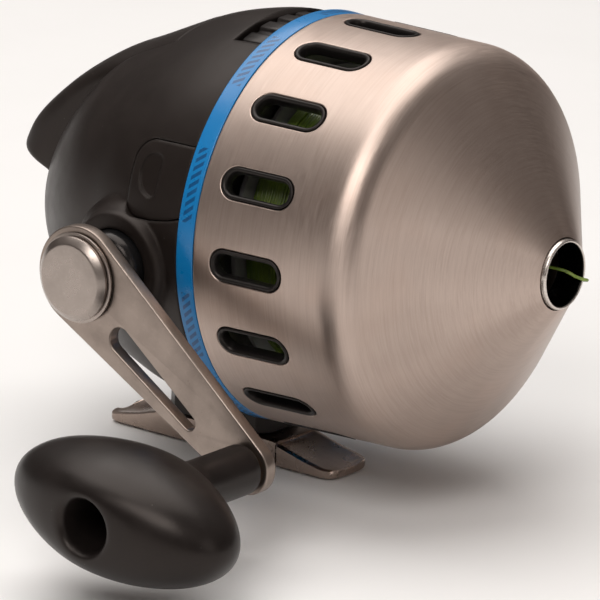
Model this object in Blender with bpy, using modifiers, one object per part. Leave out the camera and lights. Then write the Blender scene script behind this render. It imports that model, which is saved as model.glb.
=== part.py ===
"""Spincast fishing reel, built as separate pieces in one frame.

Row frame: metres, +Z up, nose towards -Y, crank handle on the -X side.
The origin is the centre of the foot's flat underside.
Helper coordinates are millimetres from the reel axis, y = 0 at the cover's
rear edge, and are moved into the row frame by `place`.
"""
import math

import bmesh
import bpy
from mathutils import Matrix, Vector

MM = 0.001
AXIS_H = 47.0          # reel axis above the foot's underside
DATUM_Y = -19.0        # row y of the cover's rear edge

COVER_R = 37.8         # cover radius at its rear edge
COVER_TAPER = 0.032    # radius lost per millimetre towards the nose
COVER_WALL = 0.8
SHOULDER_Y = -26.9     # where the shoulder bend starts
SHOULDER_R = 8.4       # bend radius of the shoulder
CONE_ANGLE = math.radians(54.8)
NOSE_R = 6.5           # steel edge round the nose hole
NOSE_HOLE_R = 5.65

SLOTS = 16
SLOT_Y = -11.44
SLOT_LEN = 15.4
SLOT_WIDE = 6.0
LIP = 0.85            # width of the black lip inside each slot

# shell sections: y, radius, how far the circle's centre lies under the reel axis
SHELL = [(3.7, 37.8, 0.3), (11.0, 37.6, 0.4), (16.0, 37.0, 0.55), (21.8, 35.75, 0.7), (27.5, 33.8, 0.9),
         (35.2, 30.85, 1.05), (41.6, 27.1, 1.55), (47.4, 22.4, 2.3), (52.1, 17.8, 3.1), (55.3, 13.6, 3.75),
         (57.1, 9.5, 3.9), (58.1, 4.5, 3.9), (58.3, 1.0, 3.9)]
SHELL_WALL = 2.6
DIAL_Y = (4.4, 9.5)
DIAL_R = (34.6, 36.0, 36.75)

CRANK_Y = 16.65
CRANK_Z = -4.36
ARM_X = (-49.0, -46.5)
KNOB_Y = -21.9
KNOB_Z = -30.8
KNOB_TILT = math.radians(7.6)

GEAR_TEETH = 39
PINION_TEETH = 15
MODULE = 0.6
SHAFT_R = 2.0

PIVOT_Y = 27.0         # thumb button pivot
PIVOT_Z = 25.0
BUTTON_W = 13.2

FOOT_Y = (-8.0, 46.0)
FOOT_W = 6.3
FOOT_SCREWS = ((13.5, 12.7), (25.5, 16.4))
PAD_UNDER = ((-36.8, -36.2), (-35.2, -33.0))   # inside the shell wall, front and rear of each pad

DECK_SCREW_R = 31.6
DECK_SCREWS = (60.0, 150.0, 300.0)

PIN_ANGLE = math.radians(-60.0)
LINE_R = 0.3           # radius of the fishing line
PAWL_Y = 29.2
PAWL_Z = 3.4

for old in list(bpy.data.objects):
    bpy.data.objects.remove(old, do_unlink=True)

REEL = bpy.data.collections.new("spincast_reel")
CUTTERS = bpy.data.collections.new("cutters")
bpy.context.scene.collection.children.link(REEL)
bpy.context.scene.collection.children.link(CUTTERS)


def material(name, color, metallic=0.0, roughness=0.5):
    mat = bpy.data.materials.new(name)
    mat.use_nodes = True
    shader = mat.node_tree.nodes["Principled BSDF"]
    shader.inputs["Base Color"].default_value = (*color, 1.0)
    shader.inputs["Metallic"].default_value = metallic
    shader.inputs["Roughness"].default_value = roughness
    return mat


STEEL = (0.62, 0.56, 0.52)
PALETTE = {
    "brushed": (STEEL, 1.0, 0.36),
    "bright": ((0.72, 0.70, 0.68), 1.0, 0.22),
    "shell": ((0.035, 0.031, 0.030), 0.0, 0.48),
    "black": ((0.015, 0.015, 0.016), 0.0, 0.32),
    "knob": ((0.020, 0.018, 0.018), 0.0, 0.38),
    "blue": ((0.0, 0.18, 0.55), 0.0, 0.35),
    "line": ((0.50, 0.62, 0.16), 0.0, 0.3),
    "brass": ((0.72, 0.52, 0.22), 1.0, 0.32),
    "zinc": ((0.45, 0.45, 0.46), 1.0, 0.42),
    "spool": ((0.62, 0.63, 0.64), 0.0, 0.42),
    "fibre": ((0.30, 0.20, 0.11), 0.0, 0.8),
}


def place(x, y, z):
    """Millimetres from the reel axis to metres in the row frame."""
    return Vector((x * MM, (y + DATUM_Y) * MM, (z + AXIS_H) * MM))


def add(name, mesh, slot=None):
    obj = bpy.data.objects.new(name, mesh)
    if slot is None:
        CUTTERS.objects.link(obj)
        obj.hide_render = True
        obj.display_type = "WIRE"
        return obj
    REEL.objects.link(obj)
    mesh.materials.append(material(name + "_mat", *PALETTE[slot]))
    return obj


def from_bmesh(name, bm, slot=None):
    bmesh.ops.recalc_face_normals(bm, faces=bm.faces[:])
    mesh = bpy.data.meshes.new(name)
    bm.to_mesh(mesh)
    bm.free()
    return add(name, mesh, slot)


def turned(name, profile, slot=None, axis="Y", centre=(0.0, 0.0), steps=48, start=None):
    """Screw-modifier solid from (radius, distance along axis) pairs.

    centre is the axis position in the other two helper coordinates, in
    x, y, z order with the axis left out. Tools are turned a little, so that
    their edges never fall on the edges of what they cut.
    """
    if start is None:
        start = 0.0 if slot else 0.037
    area = 0.0
    for (r0, h0), (r1, h1) in zip(profile, profile[1:] + profile[:1]):
        area += r0 * h1 - r1 * h0
    points = profile if area < 0 else profile[::-1]
    origin = {"X": (0.0, centre[0], centre[1]), "Y": (centre[0], 0.0, centre[1]),
              "Z": (centre[0], centre[1], 0.0)}[axis]
    spun = {"X": lambda r, h: (h, r, 0.0), "Y": lambda r, h: (0.0, h, r),
            "Z": lambda r, h: (r, 0.0, h)}[axis]
    local = [Vector(spun(r, h)) * MM for r, h in points]
    on_axis = [i for i, (r, h) in enumerate(points) if r < 1e-9]
    count = len(points)
    edges = [(i, (i + 1) % count) for i in range(count)]
    edges = [e for e in edges if not (e[0] in on_axis and e[1] in on_axis)]
    mesh = bpy.data.meshes.new(name)
    mesh.from_pydata(local, edges, [])
    obj = add(name, mesh, slot)
    obj.matrix_world = Matrix.Translation(place(*origin)) @ Matrix.Rotation(start, 4, axis)
    screw = obj.modifiers.new("turn", "SCREW")
    screw.axis = axis
    screw.angle = math.tau
    screw.steps = steps
    screw.render_steps = steps
    screw.use_merge_vertices = True
    screw.merge_threshold = 0.00001
    return obj


def prism(name, outline, low, high, slot=None, axis="X"):
    """Solid from a closed outline in the other two coordinates, cut off at low and high."""
    pick = {"X": lambda u, v, h: (h, u, v), "Y": lambda u, v, h: (u, h, v),
            "Z": lambda u, v, h: (u, v, h)}[axis]
    bm = bmesh.new()
    lower = [bm.verts.new(place(*pick(u, v, low))) for u, v in outline]
    upper = [bm.verts.new(place(*pick(u, v, high))) for u, v in outline]
    count = len(outline)
    bm.faces.new(lower)
    bm.faces.new(upper)
    for i in range(count):
        j = (i + 1) % count
        bm.faces.new((lower[i], lower[j], upper[j], upper[i]))
    return from_bmesh(name, bm, slot)


def loft(name, rings, slot=None, closed=False):
    """Solid through equal rings of points; closed joins the last ring to the first."""
    bm = bmesh.new()
    loops = [[bm.verts.new(place(*p)) for p in ring] for ring in rings]
    count = len(rings[0])
    pairs = list(zip(loops, loops[1:] + loops[:1])) if closed else list(zip(loops, loops[1:]))
    for low, high in pairs:
        for i in range(count):
            j = (i + 1) % count
            bm.faces.new((low[i], low[j], high[j], high[i]))
    if not closed:
        bm.faces.new(loops[0])
        bm.faces.new(loops[-1])
    return from_bmesh(name, bm, slot)


def boolean(obj, other, kind):
    mod = obj.modifiers.new(kind.lower(), "BOOLEAN")
    mod.operation = kind
    mod.solver = "EXACT"
    mod.object = other
    return obj


def cut(obj, *others):
    for other in others:
        boolean(obj, other, "DIFFERENCE")
    return obj


def weld(obj, *others):
    for other in others:
        boolean(obj, other, "UNION")
    return obj


def bevel(obj, width, segments=2, angle=35.0):
    mod = obj.modifiers.new("edge", "BEVEL")
    mod.width = width * MM
    mod.segments = segments
    mod.limit_method = "ANGLE"
    mod.angle_limit = math.radians(angle)
    mod.use_clamp_overlap = True
    return obj


def arc(cy, cz, r, a0, a1, steps):
    """Points on an arc, angles in degrees."""
    return [(cy + r * math.cos(math.radians(a0 + (a1 - a0) * i / steps)),
             cz + r * math.sin(math.radians(a0 + (a1 - a0) * i / steps))) for i in range(steps + 1)]


def capsule(y0, z0, r0, y1, z1, r1, steps=8):
    """Outline round two circles, joined by their outer tangents."""
    along = math.degrees(math.atan2(z1 - z0, y1 - y0))
    lean = math.degrees(math.asin((r0 - r1) / math.hypot(y1 - y0, z1 - z0)))
    first = arc(y0, z0, r0, along + 90 - lean, along + 270 + lean, steps)
    second = arc(y1, z1, r1, along - 90 + lean, along + 90 - lean, steps)
    return first + second


def polar(radius, degrees):
    """x and z at an angle from straight up towards +X."""
    a = math.radians(degrees)
    return radius * math.sin(a), radius * math.cos(a)


def wire(name, points, radius, slot=None):
    """Round wire along a list of points, welded shut at both ends."""
    curve = bpy.data.curves.new(name, "CURVE")
    curve.dimensions = "3D"
    curve.bevel_depth = radius * MM
    curve.bevel_resolution = 2
    curve.use_fill_caps = True
    spline = curve.splines.new("POLY")
    spline.points.add(len(points) - 1)
    for target, p in zip(spline.points, points):
        target.co = (*place(*p), 1.0)
    shape = bpy.data.objects.new(name + "_path", curve)
    CUTTERS.objects.link(shape)
    bpy.context.view_layer.update()
    mesh = bpy.data.meshes.new_from_object(shape.evaluated_get(bpy.context.evaluated_depsgraph_get()))
    bm = bmesh.new()
    bm.from_mesh(mesh)
    bmesh.ops.remove_doubles(bm, verts=bm.verts[:], dist=0.000001)
    bpy.data.objects.remove(shape, do_unlink=True)
    return from_bmesh(name, bm, slot)


def smooth_route(points, per_leg):
    """Catmull-Rom curve through hand-chosen route points."""
    ends = [points[0]] + list(points) + [points[-1]]
    out = []
    for i in range(1, len(ends) - 2):
        p0, p1, p2, p3 = (Vector(ends[i + k]) for k in (-1, 0, 1, 2))
        for k in range(per_leg):
            t = k / per_leg
            out.append(tuple(0.5 * ((2 * p1) + (p2 - p0) * t + (2 * p0 - 5 * p1 + 4 * p2 - p3) * t * t
                                    + (3 * p1 - p0 - 3 * p2 + p3) * t ** 3)))
    out.append(tuple(points[-1]))
    return out


# --- front cover ---------------------------------------------------------
lean = math.atan(COVER_TAPER)
bend = (COVER_R + COVER_TAPER * SHOULDER_Y - SHOULDER_R * math.cos(lean),
        SHOULDER_Y + SHOULDER_R * math.sin(lean))


def cover_side(inset, steps):
    """Outer side of the cover, moved in by inset, from rear edge to nose."""
    radius = SHOULDER_R - inset
    side = [(COVER_R - inset, 0.0)]
    for i in range(steps + 1):
        a = lean + (CONE_ANGLE - lean) * i / steps
        side.append((bend[0] + radius * math.cos(a), bend[1] - radius * math.sin(a)))
    end = side[-1]
    run = (end[0] - NOSE_R) / math.sin(CONE_ANGLE)
    side.append((NOSE_R, end[1] - run * math.cos(CONE_ANGLE)))
    return side


def stadium(length, width, steps=4):
    half = length / 2 - width / 2
    front = arc(-half, 0.0, width / 2, 90, 270, steps)
    rear = arc(half, 0.0, width / 2, -90, 90, steps)
    return front + rear


def slot_set(name, grow, low, high):
    """One radial plug for each slot, following the cover's taper."""
    bm = bmesh.new()
    for i in range(SLOTS):
        loops = []
        for radius in (low, high):
            loop = []
            for y, v in stadium(SLOT_LEN + grow, SLOT_WIDE + grow):
                a = math.tau * i / SLOTS + v / COVER_R
                r = radius if radius < 30 else radius + COVER_TAPER * (SLOT_Y + y)
                loop.append(bm.verts.new(place(r * math.sin(a), SLOT_Y + y, r * math.cos(a))))
            loops.append(loop)
            bm.faces.new(loop)
        count = len(loops[0])
        for k in range(count):
            j = (k + 1) % count
            bm.faces.new((loops[0][k], loops[0][j], loops[1][j], loops[1][k]))
    return from_bmesh(name, bm)


outer = cover_side(0.0, 4)
inner = cover_side(COVER_WALL, 2)
front_cover = turned("front_cover", outer + inner[::-1], "brushed", steps=48)
cut(front_cover, slot_set("slot_cutter", 0.0, 20.0, 45.0))

cover_liner = turned("cover_liner", [(36.75, -0.3), (36.05, -22.0), (34.95, -22.0), (35.65, -0.3)],
                     "black", steps=32, start=0.05)
weld(cover_liner, slot_set("liner_lips", -0.3, 36.0, COVER_R + 0.12))
cut(cover_liner, slot_set("liner_cutter", -0.3 - 2 * LIP, 20.0, 45.0))

turned("trim_band", [(37.75, 0.15), (38.05, 3.55), (36.95, 3.55), (36.95, 0.15)], "blue", steps=48)

turned("nose_ring", [(6.0, -53.35), (6.3, -53.05), (6.3, -48.4), (8.2, -48.4), (8.2, -47.6),
                     (NOSE_HOLE_R + 0.3, -47.4), (NOSE_HOLE_R, -48.0), (NOSE_HOLE_R, -53.0)],
       "zinc", steps=28)

# --- rear housing --------------------------------------------------------
def shell_ring(y, radius, drop, steps=48, start=0.0):
    """Circle of the shell at y, its centre a little under the reel axis."""
    spots = [start + math.tau * i / steps for i in range(steps)]
    return [(radius * math.sin(a), y, radius * math.cos(a) - drop) for a in spots]


body_shell = loft("body_shell", [shell_ring(*section) for section in SHELL], "shell")
hollow = [(3.0, SHELL[0][1] - SHELL_WALL, SHELL[0][2])]
hollow += [(y - 0.4 * i / 9, radius - SHELL_WALL, drop) for i, (y, radius, drop) in enumerate(SHELL[1:10])]
hollow += [(56.0, 7.0, 3.9)]
cut(body_shell, loft("shell_inside", [shell_ring(*section, start=0.03) for section in hollow]))

boss = turned("boss", [(0.0, -39.0), (9.1, -39.5), (9.9, -38.9), (10.2, -37.6), (11.0, -36.2),
                       (12.3, -34.9), (12.3, -33.0), (8.7, -33.0), (8.7, -21.0), (0.0, -21.0)],
              axis="X", centre=(CRANK_Y, CRANK_Z), steps=32)
pawl_lug = prism("pawl_lug", capsule(CRANK_Y, CRANK_Z, 6.0, PAWL_Y, PAWL_Z, 2.6), -25.0, -21.3)
lugs = [turned("pivot_lug_" + side, [(0.0, sign * 13.9), (2.4, sign * 13.9), (2.4, sign * 18.6),
                                     (0.0, sign * 18.6)],
               axis="X", centre=(PIVOT_Y, PIVOT_Z), steps=14) for side, sign in (("a", -1), ("b", 1))]
weld(body_shell, boss, pawl_lug, *lugs)

for i, angle in enumerate(DECK_SCREWS):
    x, z = polar(DECK_SCREW_R, angle)
    post = turned("deck_post_%d" % i, [(0.0, 1.5), (2.5, 1.5), (2.5, 23.0), (0.0, 23.0)],
                  centre=(x, z), steps=12)
    hole = turned("deck_bore_%d" % i, [(0.0, 1.0), (1.05, 1.0), (1.05, 12.0), (0.0, 12.0)],
                  centre=(x, z), steps=10)
    cut(weld(body_shell, post), hole)
for i, (y, top) in enumerate(FOOT_SCREWS):
    front, rear = PAD_UNDER[i]
    pad = prism("foot_pad_%d" % i, [(y - 3.3, front), (y + 3.3, rear), (y + 3.3, top - AXIS_H),
                                    (y - 3.3, top - AXIS_H)], -3.4, 3.4)
    hole = turned("foot_bore_%d" % i, [(0.0, -30.0), (1.75, -30.0), (1.75, -42.0), (0.0, -42.0)],
                  axis="Z", centre=(0.0, y), steps=12)
    cut(weld(body_shell, pad), hole)

groove = turned("dial_groove", [(34.3, 3.0), (36.9, 3.0), (36.9, 9.9), (34.3, 9.9)], steps=48)
crank_bore = turned("crank_bore", [(0.0, -45.0), (7.0, -45.0), (7.0, -20.0), (0.0, -20.0)],
                    axis="X", centre=(CRANK_Y, CRANK_Z), steps=32, start=0.06)
opening = prism("button_opening", [(24.5, 20.0), (24.5, 50.0), (80.0, 50.0), (80.0, -8.5), (40.0, -8.5),
                                   (40.0, 20.0)], -BUTTON_W - 0.4, BUTTON_W + 0.4)
window = prism("dial_window", [(2.6, 29.7), (10.15, 29.7), (10.15, 36.3), (12.35, 38.7), (12.35, 42.0),
                               (2.6, 42.0)], -15.1, 15.1)
pivot_bore = turned("pivot_bore", [(0.0, -17.9), (1.35, -17.9), (1.35, 17.9), (0.0, 17.9)],
                    axis="X", centre=(PIVOT_Y, PIVOT_Z), steps=12)
pawl_bore = turned("pawl_bore", [(0.0, -24.6), (1.15, -24.6), (1.15, -20.0), (0.0, -20.0)],
                   axis="X", centre=(PAWL_Y, PAWL_Z), steps=12)
cut(body_shell, groove, crank_bore, opening, window, pivot_bore, pawl_bore)

# --- side plug -----------------------------------------------------------
PLUG_ANGLE = math.radians(-71.3)
plug_out = Vector((math.sin(PLUG_ANGLE), 0.0, math.cos(PLUG_ANGLE)))
plug_up = Vector((math.cos(PLUG_ANGLE), 0.0, -math.sin(PLUG_ANGLE)))


def side_prism(name, outline, low, high):
    """Prism square to the side panel; outline in (y, distance up the side)."""
    bm = bmesh.new()
    rings = []
    for depth in (low, high):
        spots = [plug_out * depth + plug_up * t + Vector((0.0, y, 0.0)) for y, t in outline]
        rings.append([bm.verts.new(place(*p)) for p in spots])
    bm.faces.new(rings[0])
    bm.faces.new(rings[1])
    for i in range(len(outline)):
        j = (i + 1) % len(outline)
        bm.faces.new((rings[0][i], rings[0][j], rings[1][j], rings[1][i]))
    return from_bmesh(name, bm)


def plug_outline(grow):
    """Panel outline with a rounded rear edge."""
    top = 7.0 + grow
    low = -7.2 - grow
    rear = 16.9 + grow
    front = 3.75 - grow * 4
    return ([(front, low + 1.5), (6.5, low + 0.6), (10.5, low)] + arc(13.4, low + 3.5, 3.5, -90, -20, 3)
            + [(rear, 0.0)] + arc(rear - 4.4, top - 4.4, 4.4, 10, 90, 4) + [(front, top)])


plug_sections = [(y, radius, drop) for y, radius, drop in SHELL[:3]] + [(19.3, 36.35, 0.64)]
plug_sections[0] = (3.75,) + plug_sections[0][1:]
plug_inside = [(3.0, 37.25, 0.3), (10.2, 37.1, 0.4), (10.6, 36.6, 0.4), (16.0, 36.3, 0.55), (20.0, 35.9, 0.64)]
side_plug = loft("side_plug", [shell_ring(*section) for section in plug_sections], "shell")
cut(side_plug, loft("plug_inside", [shell_ring(*section, start=0.03) for section in plug_inside]))
boolean(side_plug, side_prism("plug_shape", plug_outline(0.0), 30.0, 45.0), "INTERSECT")
dimple = [(10.2, -3.0), (10.2, 3.9), (11.3, 4.6), (13.4, 4.4), (14.6, 3.0), (14.9, 0.6), (14.3, -1.6),
          (12.9, -3.0), (11.4, -3.5)]
cut(side_plug, side_prism("plug_dimple", dimple, 36.7, 45.0))
cut(body_shell, side_prism("plug_recess", plug_outline(0.2), 35.4, 45.0))

# --- gear deck -----------------------------------------------------------
gear_deck = turned("gear_deck", [(5.9, -17.0), (8.0, -17.0), (8.0, -0.6), (35.4, -0.6), (35.4, 0.1),
                                 (36.7, 0.1), (36.7, 3.9), (34.9, 3.9), (34.9, 1.2), (5.9, 1.2)],
                   "zinc", steps=36)
for i, angle in enumerate(DECK_SCREWS):
    x, z = polar(DECK_SCREW_R, angle)
    cut(gear_deck, turned("deck_hole_%d" % i, [(0.0, -3.0), (1.3, -3.0), (1.3, 3.0), (0.0, 3.0)],
                          centre=(x, z), steps=16))
    turned("deck_screw_%d" % (i + 1), [(0.0, -2.3), (1.1, -2.3), (1.9, -1.9), (1.9, -0.9), (0.9, -0.9),
                                       (0.9, 10.0), (0.5, 10.7), (0.0, 10.7)],
           "bright", centre=(x, z), steps=12)

turned("pinion_bush", [(3.7, -16.6), (5.6, -16.6), (5.6, 1.4), (7.2, 1.4), (7.2, 2.2), (3.7, 2.2)],
       "brass", steps=24)
turned("drag_washer", [(8.6, -0.9), (24.0, -0.9), (24.0, -1.4), (8.6, -1.4)], "fibre", steps=28)
turned("spool_clip", [(8.3, -15.6), (10.6, -15.6), (10.6, -16.4), (8.3, -16.4)], "bright", steps=24)

# --- spool ---------------------------------------------------------------
turned("spool", [(8.4, -1.7), (29.2, -1.7), (29.2, -2.6), (15.6, -3.1), (15.6, -13.7),
                 (29.2, -14.2), (29.2, -15.1), (8.4, -15.1)], "spool", steps=32)
turned("spool_line", [(15.9, -3.45), (27.2, -3.15), (27.9, -6.4), (27.8, -10.4), (27.0, -13.7),
                      (15.9, -13.4)], "line", steps=32)

# --- drag dial -----------------------------------------------------------
ribs = 44
rim = []
for i in range(ribs):
    step = 360.0 / ribs
    for part, radius in ((0.00, DIAL_R[1]), (0.26, DIAL_R[1]), (0.38, DIAL_R[2]), (0.88, DIAL_R[2])):
        rim.append(polar(radius, (i + part) * step))
bm = bmesh.new()
bore = [polar(DIAL_R[0], i * 360.0 / ribs) for i in range(ribs)]
rings = [[bm.verts.new(place(x, y, z)) for x, z in loop] for y in DIAL_Y for loop in (rim, bore)]
for side in (0, 2):
    for i in range(ribs):
        j = (i + 1) % ribs
        outer_loop = [rings[side][(4 * i + k) % (4 * ribs)] for k in range(5)]
        bm.faces.new(outer_loop + [rings[side + 1][j], rings[side + 1][i]])
for front, back in ((rings[0], rings[2]), (rings[1], rings[3])):
    for i in range(len(front)):
        j = (i + 1) % len(front)
        bm.faces.new((front[i], front[j], back[j], back[i]))
from_bmesh("drag_dial", bm, "black")

# --- centre shaft and spinner head ---------------------------------------
turned("center_shaft", [(0.0, -25.6), (1.5, -25.6), (SHAFT_R, -25.1), (SHAFT_R, 49.2), (1.6, 49.6),
                        (0.0, 49.6)], "bright", steps=24)
spinner_head = turned("spinner_head",
                      [(2.15, -17.8), (6.0, -17.8), (6.4, -19.4), (28.0, -19.4), (30.4, -18.0),
                       (30.7, -14.5), (31.2, -14.1), (31.9, -14.2), (32.1, -14.8), (31.9, -18.2),
                       (30.6, -20.1), (28.0, -20.7), (6.6, -20.8), (6.0, -22.2),
                       (2.15, -22.2)], "bright", steps=32)
pin_dir = Vector((math.sin(PIN_ANGLE), 0.0, math.cos(PIN_ANGLE)))


def radial(name, low, high, radius, slot=None, steps=16):
    """Cylinder pointing out from the axis at the pickup pin's angle."""
    bm = bmesh.new()
    spin = Matrix.Rotation(PIN_ANGLE, 4, "Y")
    bmesh.ops.create_cone(bm, cap_ends=True, segments=steps, radius1=radius * MM, radius2=radius * MM,
                          depth=(high - low) * MM)
    centre = Matrix.Translation(place(*(pin_dir * (low + high) / 2 + Vector((0.0, -16.3, 0.0)))))
    bmesh.ops.transform(bm, matrix=centre @ spin, verts=bm.verts[:])
    return from_bmesh(name, bm, slot)


cut(spinner_head, radial("pin_hole", 29.0, 34.0, 1.05))
radial("pickup_pin", 22.5, 33.3, 0.8, "bright")
nut = [(4.0 * math.cos(math.radians(60 * i)), 4.0 * math.sin(math.radians(60 * i))) for i in range(6)]
spinner_nut = bevel(prism("spinner_nut", nut, -25.0, -22.5, "bright", axis="Y"), 0.3, 1)
cut(spinner_nut, turned("nut_bore", [(0.0, -30.0), (2.2, -30.0), (2.2, -20.0), (0.0, -20.0)], steps=24))
turned("shaft_clip", [(2.2, 43.6), (4.3, 43.6), (4.3, 44.5), (2.2, 44.5)], "bright", steps=24)

coil = []
for i in range(5 * 9 + 1):
    a = math.tau * i / 9
    coil.append((3.0 * math.sin(a), 8.4 + 30.2 * i / 45, 3.0 * math.cos(a)))
wire("return_spring", coil, 0.33, "bright")

# --- pinion --------------------------------------------------------------
pitch_r = MODULE * PINION_TEETH / 2
outline = []
for i in range(PINION_TEETH):
    middle = 270.0 + (i + 0.5) * 360.0 / PINION_TEETH
    for radius, half in ((pitch_r - 0.75, -0.34), (pitch_r + 0.5, -0.13), (pitch_r + 0.5, 0.13),
                         (pitch_r - 0.75, 0.34)):
        outline.append(polar(radius, middle + math.degrees(half / radius)))
pinion_gear = prism("pinion_gear", outline, 2.6, 7.4, "brass", axis="Y")
weld(pinion_gear, turned("pinion_tube", [(0.0, -17.3), (3.35, -17.3), (3.35, 7.0), (0.0, 7.0)], steps=32))
cut(pinion_gear, turned("pinion_bore", [(0.0, -20.0), (2.3, -20.0), (2.3, 9.0), (0.0, 9.0)], steps=24))

# --- crank shaft and drive gear ------------------------------------------
crank = dict(axis="X", centre=(CRANK_Y, CRANK_Z))
turned("crank_bush", [(4.3, -42.6), (5.4, -42.6), (6.3, -42.0), (6.75, -40.8), (6.75, -20.5), (4.3, -20.5)],
       "black", steps=28, **crank)
turned("crank_shaft", [(1.75, -48.7), (3.0, -48.7), (3.0, -46.2), (4.0, -46.2), (4.0, -20.2), (3.3, -20.2),
                       (3.3, -9.0), (2.8, -9.0), (2.8, -5.5), (1.35, -5.5), (1.35, -10.5), (0.0, -10.5),
                       (0.0, -41.0), (1.75, -41.0)], "bright", steps=20, **crank)
drive_gear = turned("drive_gear", [(3.0, -8.6), (13.1, -8.6), (13.1, -5.45), (9.6, -5.45), (9.0, -6.4),
                                   (3.0, -6.4)], "brass", steps=39, **crank)
bm = bmesh.new()
for k in range(GEAR_TEETH):
    turn = Matrix.Rotation(math.tau * k / GEAR_TEETH, 4, "X")
    rings = []
    for x, half in ((-5.75, 0.33), (-4.05, 0.17)):
        spots = [(x, -10.5, -CRANK_Z - half), (x, -10.5, -CRANK_Z + half),
                 (x, -12.1, -CRANK_Z + half), (x, -12.1, -CRANK_Z - half)]
        turned_spots = [turn @ Vector(p) + Vector((0.0, CRANK_Y, CRANK_Z)) for p in spots]
        rings.append([bm.verts.new(place(*p)) for p in turned_spots])
    bm.faces.new(rings[0])
    bm.faces.new(rings[1])
    for i in range(4):
        j = (i + 1) % 4
        bm.faces.new((rings[0][i], rings[0][j], rings[1][j], rings[1][i]))
weld(drive_gear, from_bmesh("gear_teeth", bm))
turned("gear_screw", [(0.0, -3.7), (1.7, -3.75), (2.3, -4.2), (2.3, -5.3), (1.1, -5.3), (1.1, -9.6),
                      (0.0, -9.6)], "bright", steps=20, **crank)

teeth = 12
outline = []
for i in range(teeth):
    step = math.tau / teeth
    for frac, radius in ((0.0, 6.4), (0.12, 8.0), (0.32, 7.9)):
        a = (i + frac) * step
        outline.append((CRANK_Y + radius * math.cos(a), CRANK_Z + radius * math.sin(a)))
ratchet = prism("ratchet_wheel", outline, -19.8, -17.8, "zinc")
cut(ratchet, turned("ratchet_bore", [(0.0, -22.0), (3.5, -22.0), (3.5, -15.0), (0.0, -15.0)],
                    steps=24, **crank))

turned("pawl_pin", [(0.0, -24.4), (0.95, -24.4), (0.95, -17.3), (1.8, -17.3), (1.8, -16.7), (0.0, -16.7)],
       "bright", axis="X", centre=(PAWL_Y, PAWL_Z), steps=16)
pawl_tip = (25.0, -2.0)
pawl = prism("anti_reverse_pawl", capsule(PAWL_Y, PAWL_Z, 2.4, pawl_tip[0], pawl_tip[1], 0.55, 6),
             -19.8, -17.8, "bright")
cut(pawl, turned("pawl_hole", [(0.0, -22.0), (1.2, -22.0), (1.2, -15.0), (0.0, -15.0)],
                 axis="X", centre=(PAWL_Y, PAWL_Z), steps=16))

# --- crank arm, cap and knob ---------------------------------------------
arm_outline = capsule(CRANK_Y, CRANK_Z, 9.2, KNOB_Y, KNOB_Z, 4.9, 11)
crank_arm = prism("crank_arm", arm_outline, ARM_X[0], ARM_X[1], "brushed")
slot_outline = capsule(6.8, -14.0, 2.35, -9.2, -25.5, 1.35, 7)
cut(crank_arm, prism("arm_slot", slot_outline, -55.0, -40.0))
bevel(crank_arm, 0.35, 1, 50.0)
cut(crank_arm, turned("arm_hole", [(0.0, -55.0), (3.2, -55.0), (3.2, -40.0), (0.0, -40.0)],
                      steps=28, **crank))
cut(crank_arm, turned("spindle_hole", [(0.0, -55.0), (2.0, -55.0), (2.0, -40.0), (0.0, -40.0)],
                      axis="X", centre=(KNOB_Y, KNOB_Z), steps=20))
turned("cap_washer", [(1.9, -49.3), (8.15, -49.3), (8.15, -49.75), (1.9, -49.75)],
       "bright", steps=36, **crank)
turned("crank_cap", [(0.0, -51.4), (6.1, -51.5), (6.5, -51.4), (7.6, -50.5), (7.6, -50.0),
                     (1.5, -50.0), (1.5, -42.0), (0.0, -42.0)], "bright", steps=36, **crank)

knob_axis = dict(axis="X", centre=(KNOB_Y, KNOB_Z))
turned("knob_spindle", [(0.0, -73.0), (2.6, -72.9), (3.4, -72.2), (3.4, -70.9), (2.4, -70.9),
                        (2.4, -49.3), (1.8, -49.3), (1.8, -46.2), (3.2, -46.2), (3.2, -45.6), (2.4, -45.2),
                        (0.0, -45.1)], "bright", steps=18, **knob_axis)
turned("knob_bush", [(2.65, -50.0), (3.45, -50.0), (3.45, -70.4), (2.65, -70.4)], "brass", steps=24,
       **knob_axis)


def knob_ring(x, long, short):
    ring = []
    for i in range(24):
        a = math.tau * i / 24
        u = long * math.cos(a)
        v = short * math.sin(a)
        ring.append((x, KNOB_Y - u * math.cos(KNOB_TILT) - v * math.sin(KNOB_TILT),
                     KNOB_Z - u * math.sin(KNOB_TILT) + v * math.cos(KNOB_TILT)))
    return ring


knob_rings = [(-49.9, 3.7, 3.7), (-49.9, 4.2, 4.2), (-50.3, 4.5, 4.5), (-62.5, 4.5, 4.5),
              (-65.0, 5.1, 4.9), (-67.2, 7.0, 5.8), (-69.0, 10.7, 7.0), (-71.0, 15.0, 8.4),
              (-73.6, 18.8, 9.5), (-76.8, 21.6, 10.3), (-80.0, 22.5, 10.6), (-83.6, 21.8, 10.3),
              (-86.8, 19.3, 9.5), (-89.3, 15.3, 8.3), (-90.8, 10.9, 7.1), (-91.5, 7.3, 6.1),
              (-91.6, 5.6, 5.3), (-91.2, 4.9, 4.9), (-90.2, 4.55, 4.55), (-70.7, 4.0, 4.0),
              (-70.7, 3.7, 3.7)]
loft("knob_grip", [knob_ring(*r) for r in knob_rings], "knob", closed=True)

# --- thumb button --------------------------------------------------------
CROWN_R = 28.0         # roundness of the button across its width
EDGE_R = 2.2           # rounded long edges
CORNER_R = 5.0         # rounded rear corners, seen from above


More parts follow.
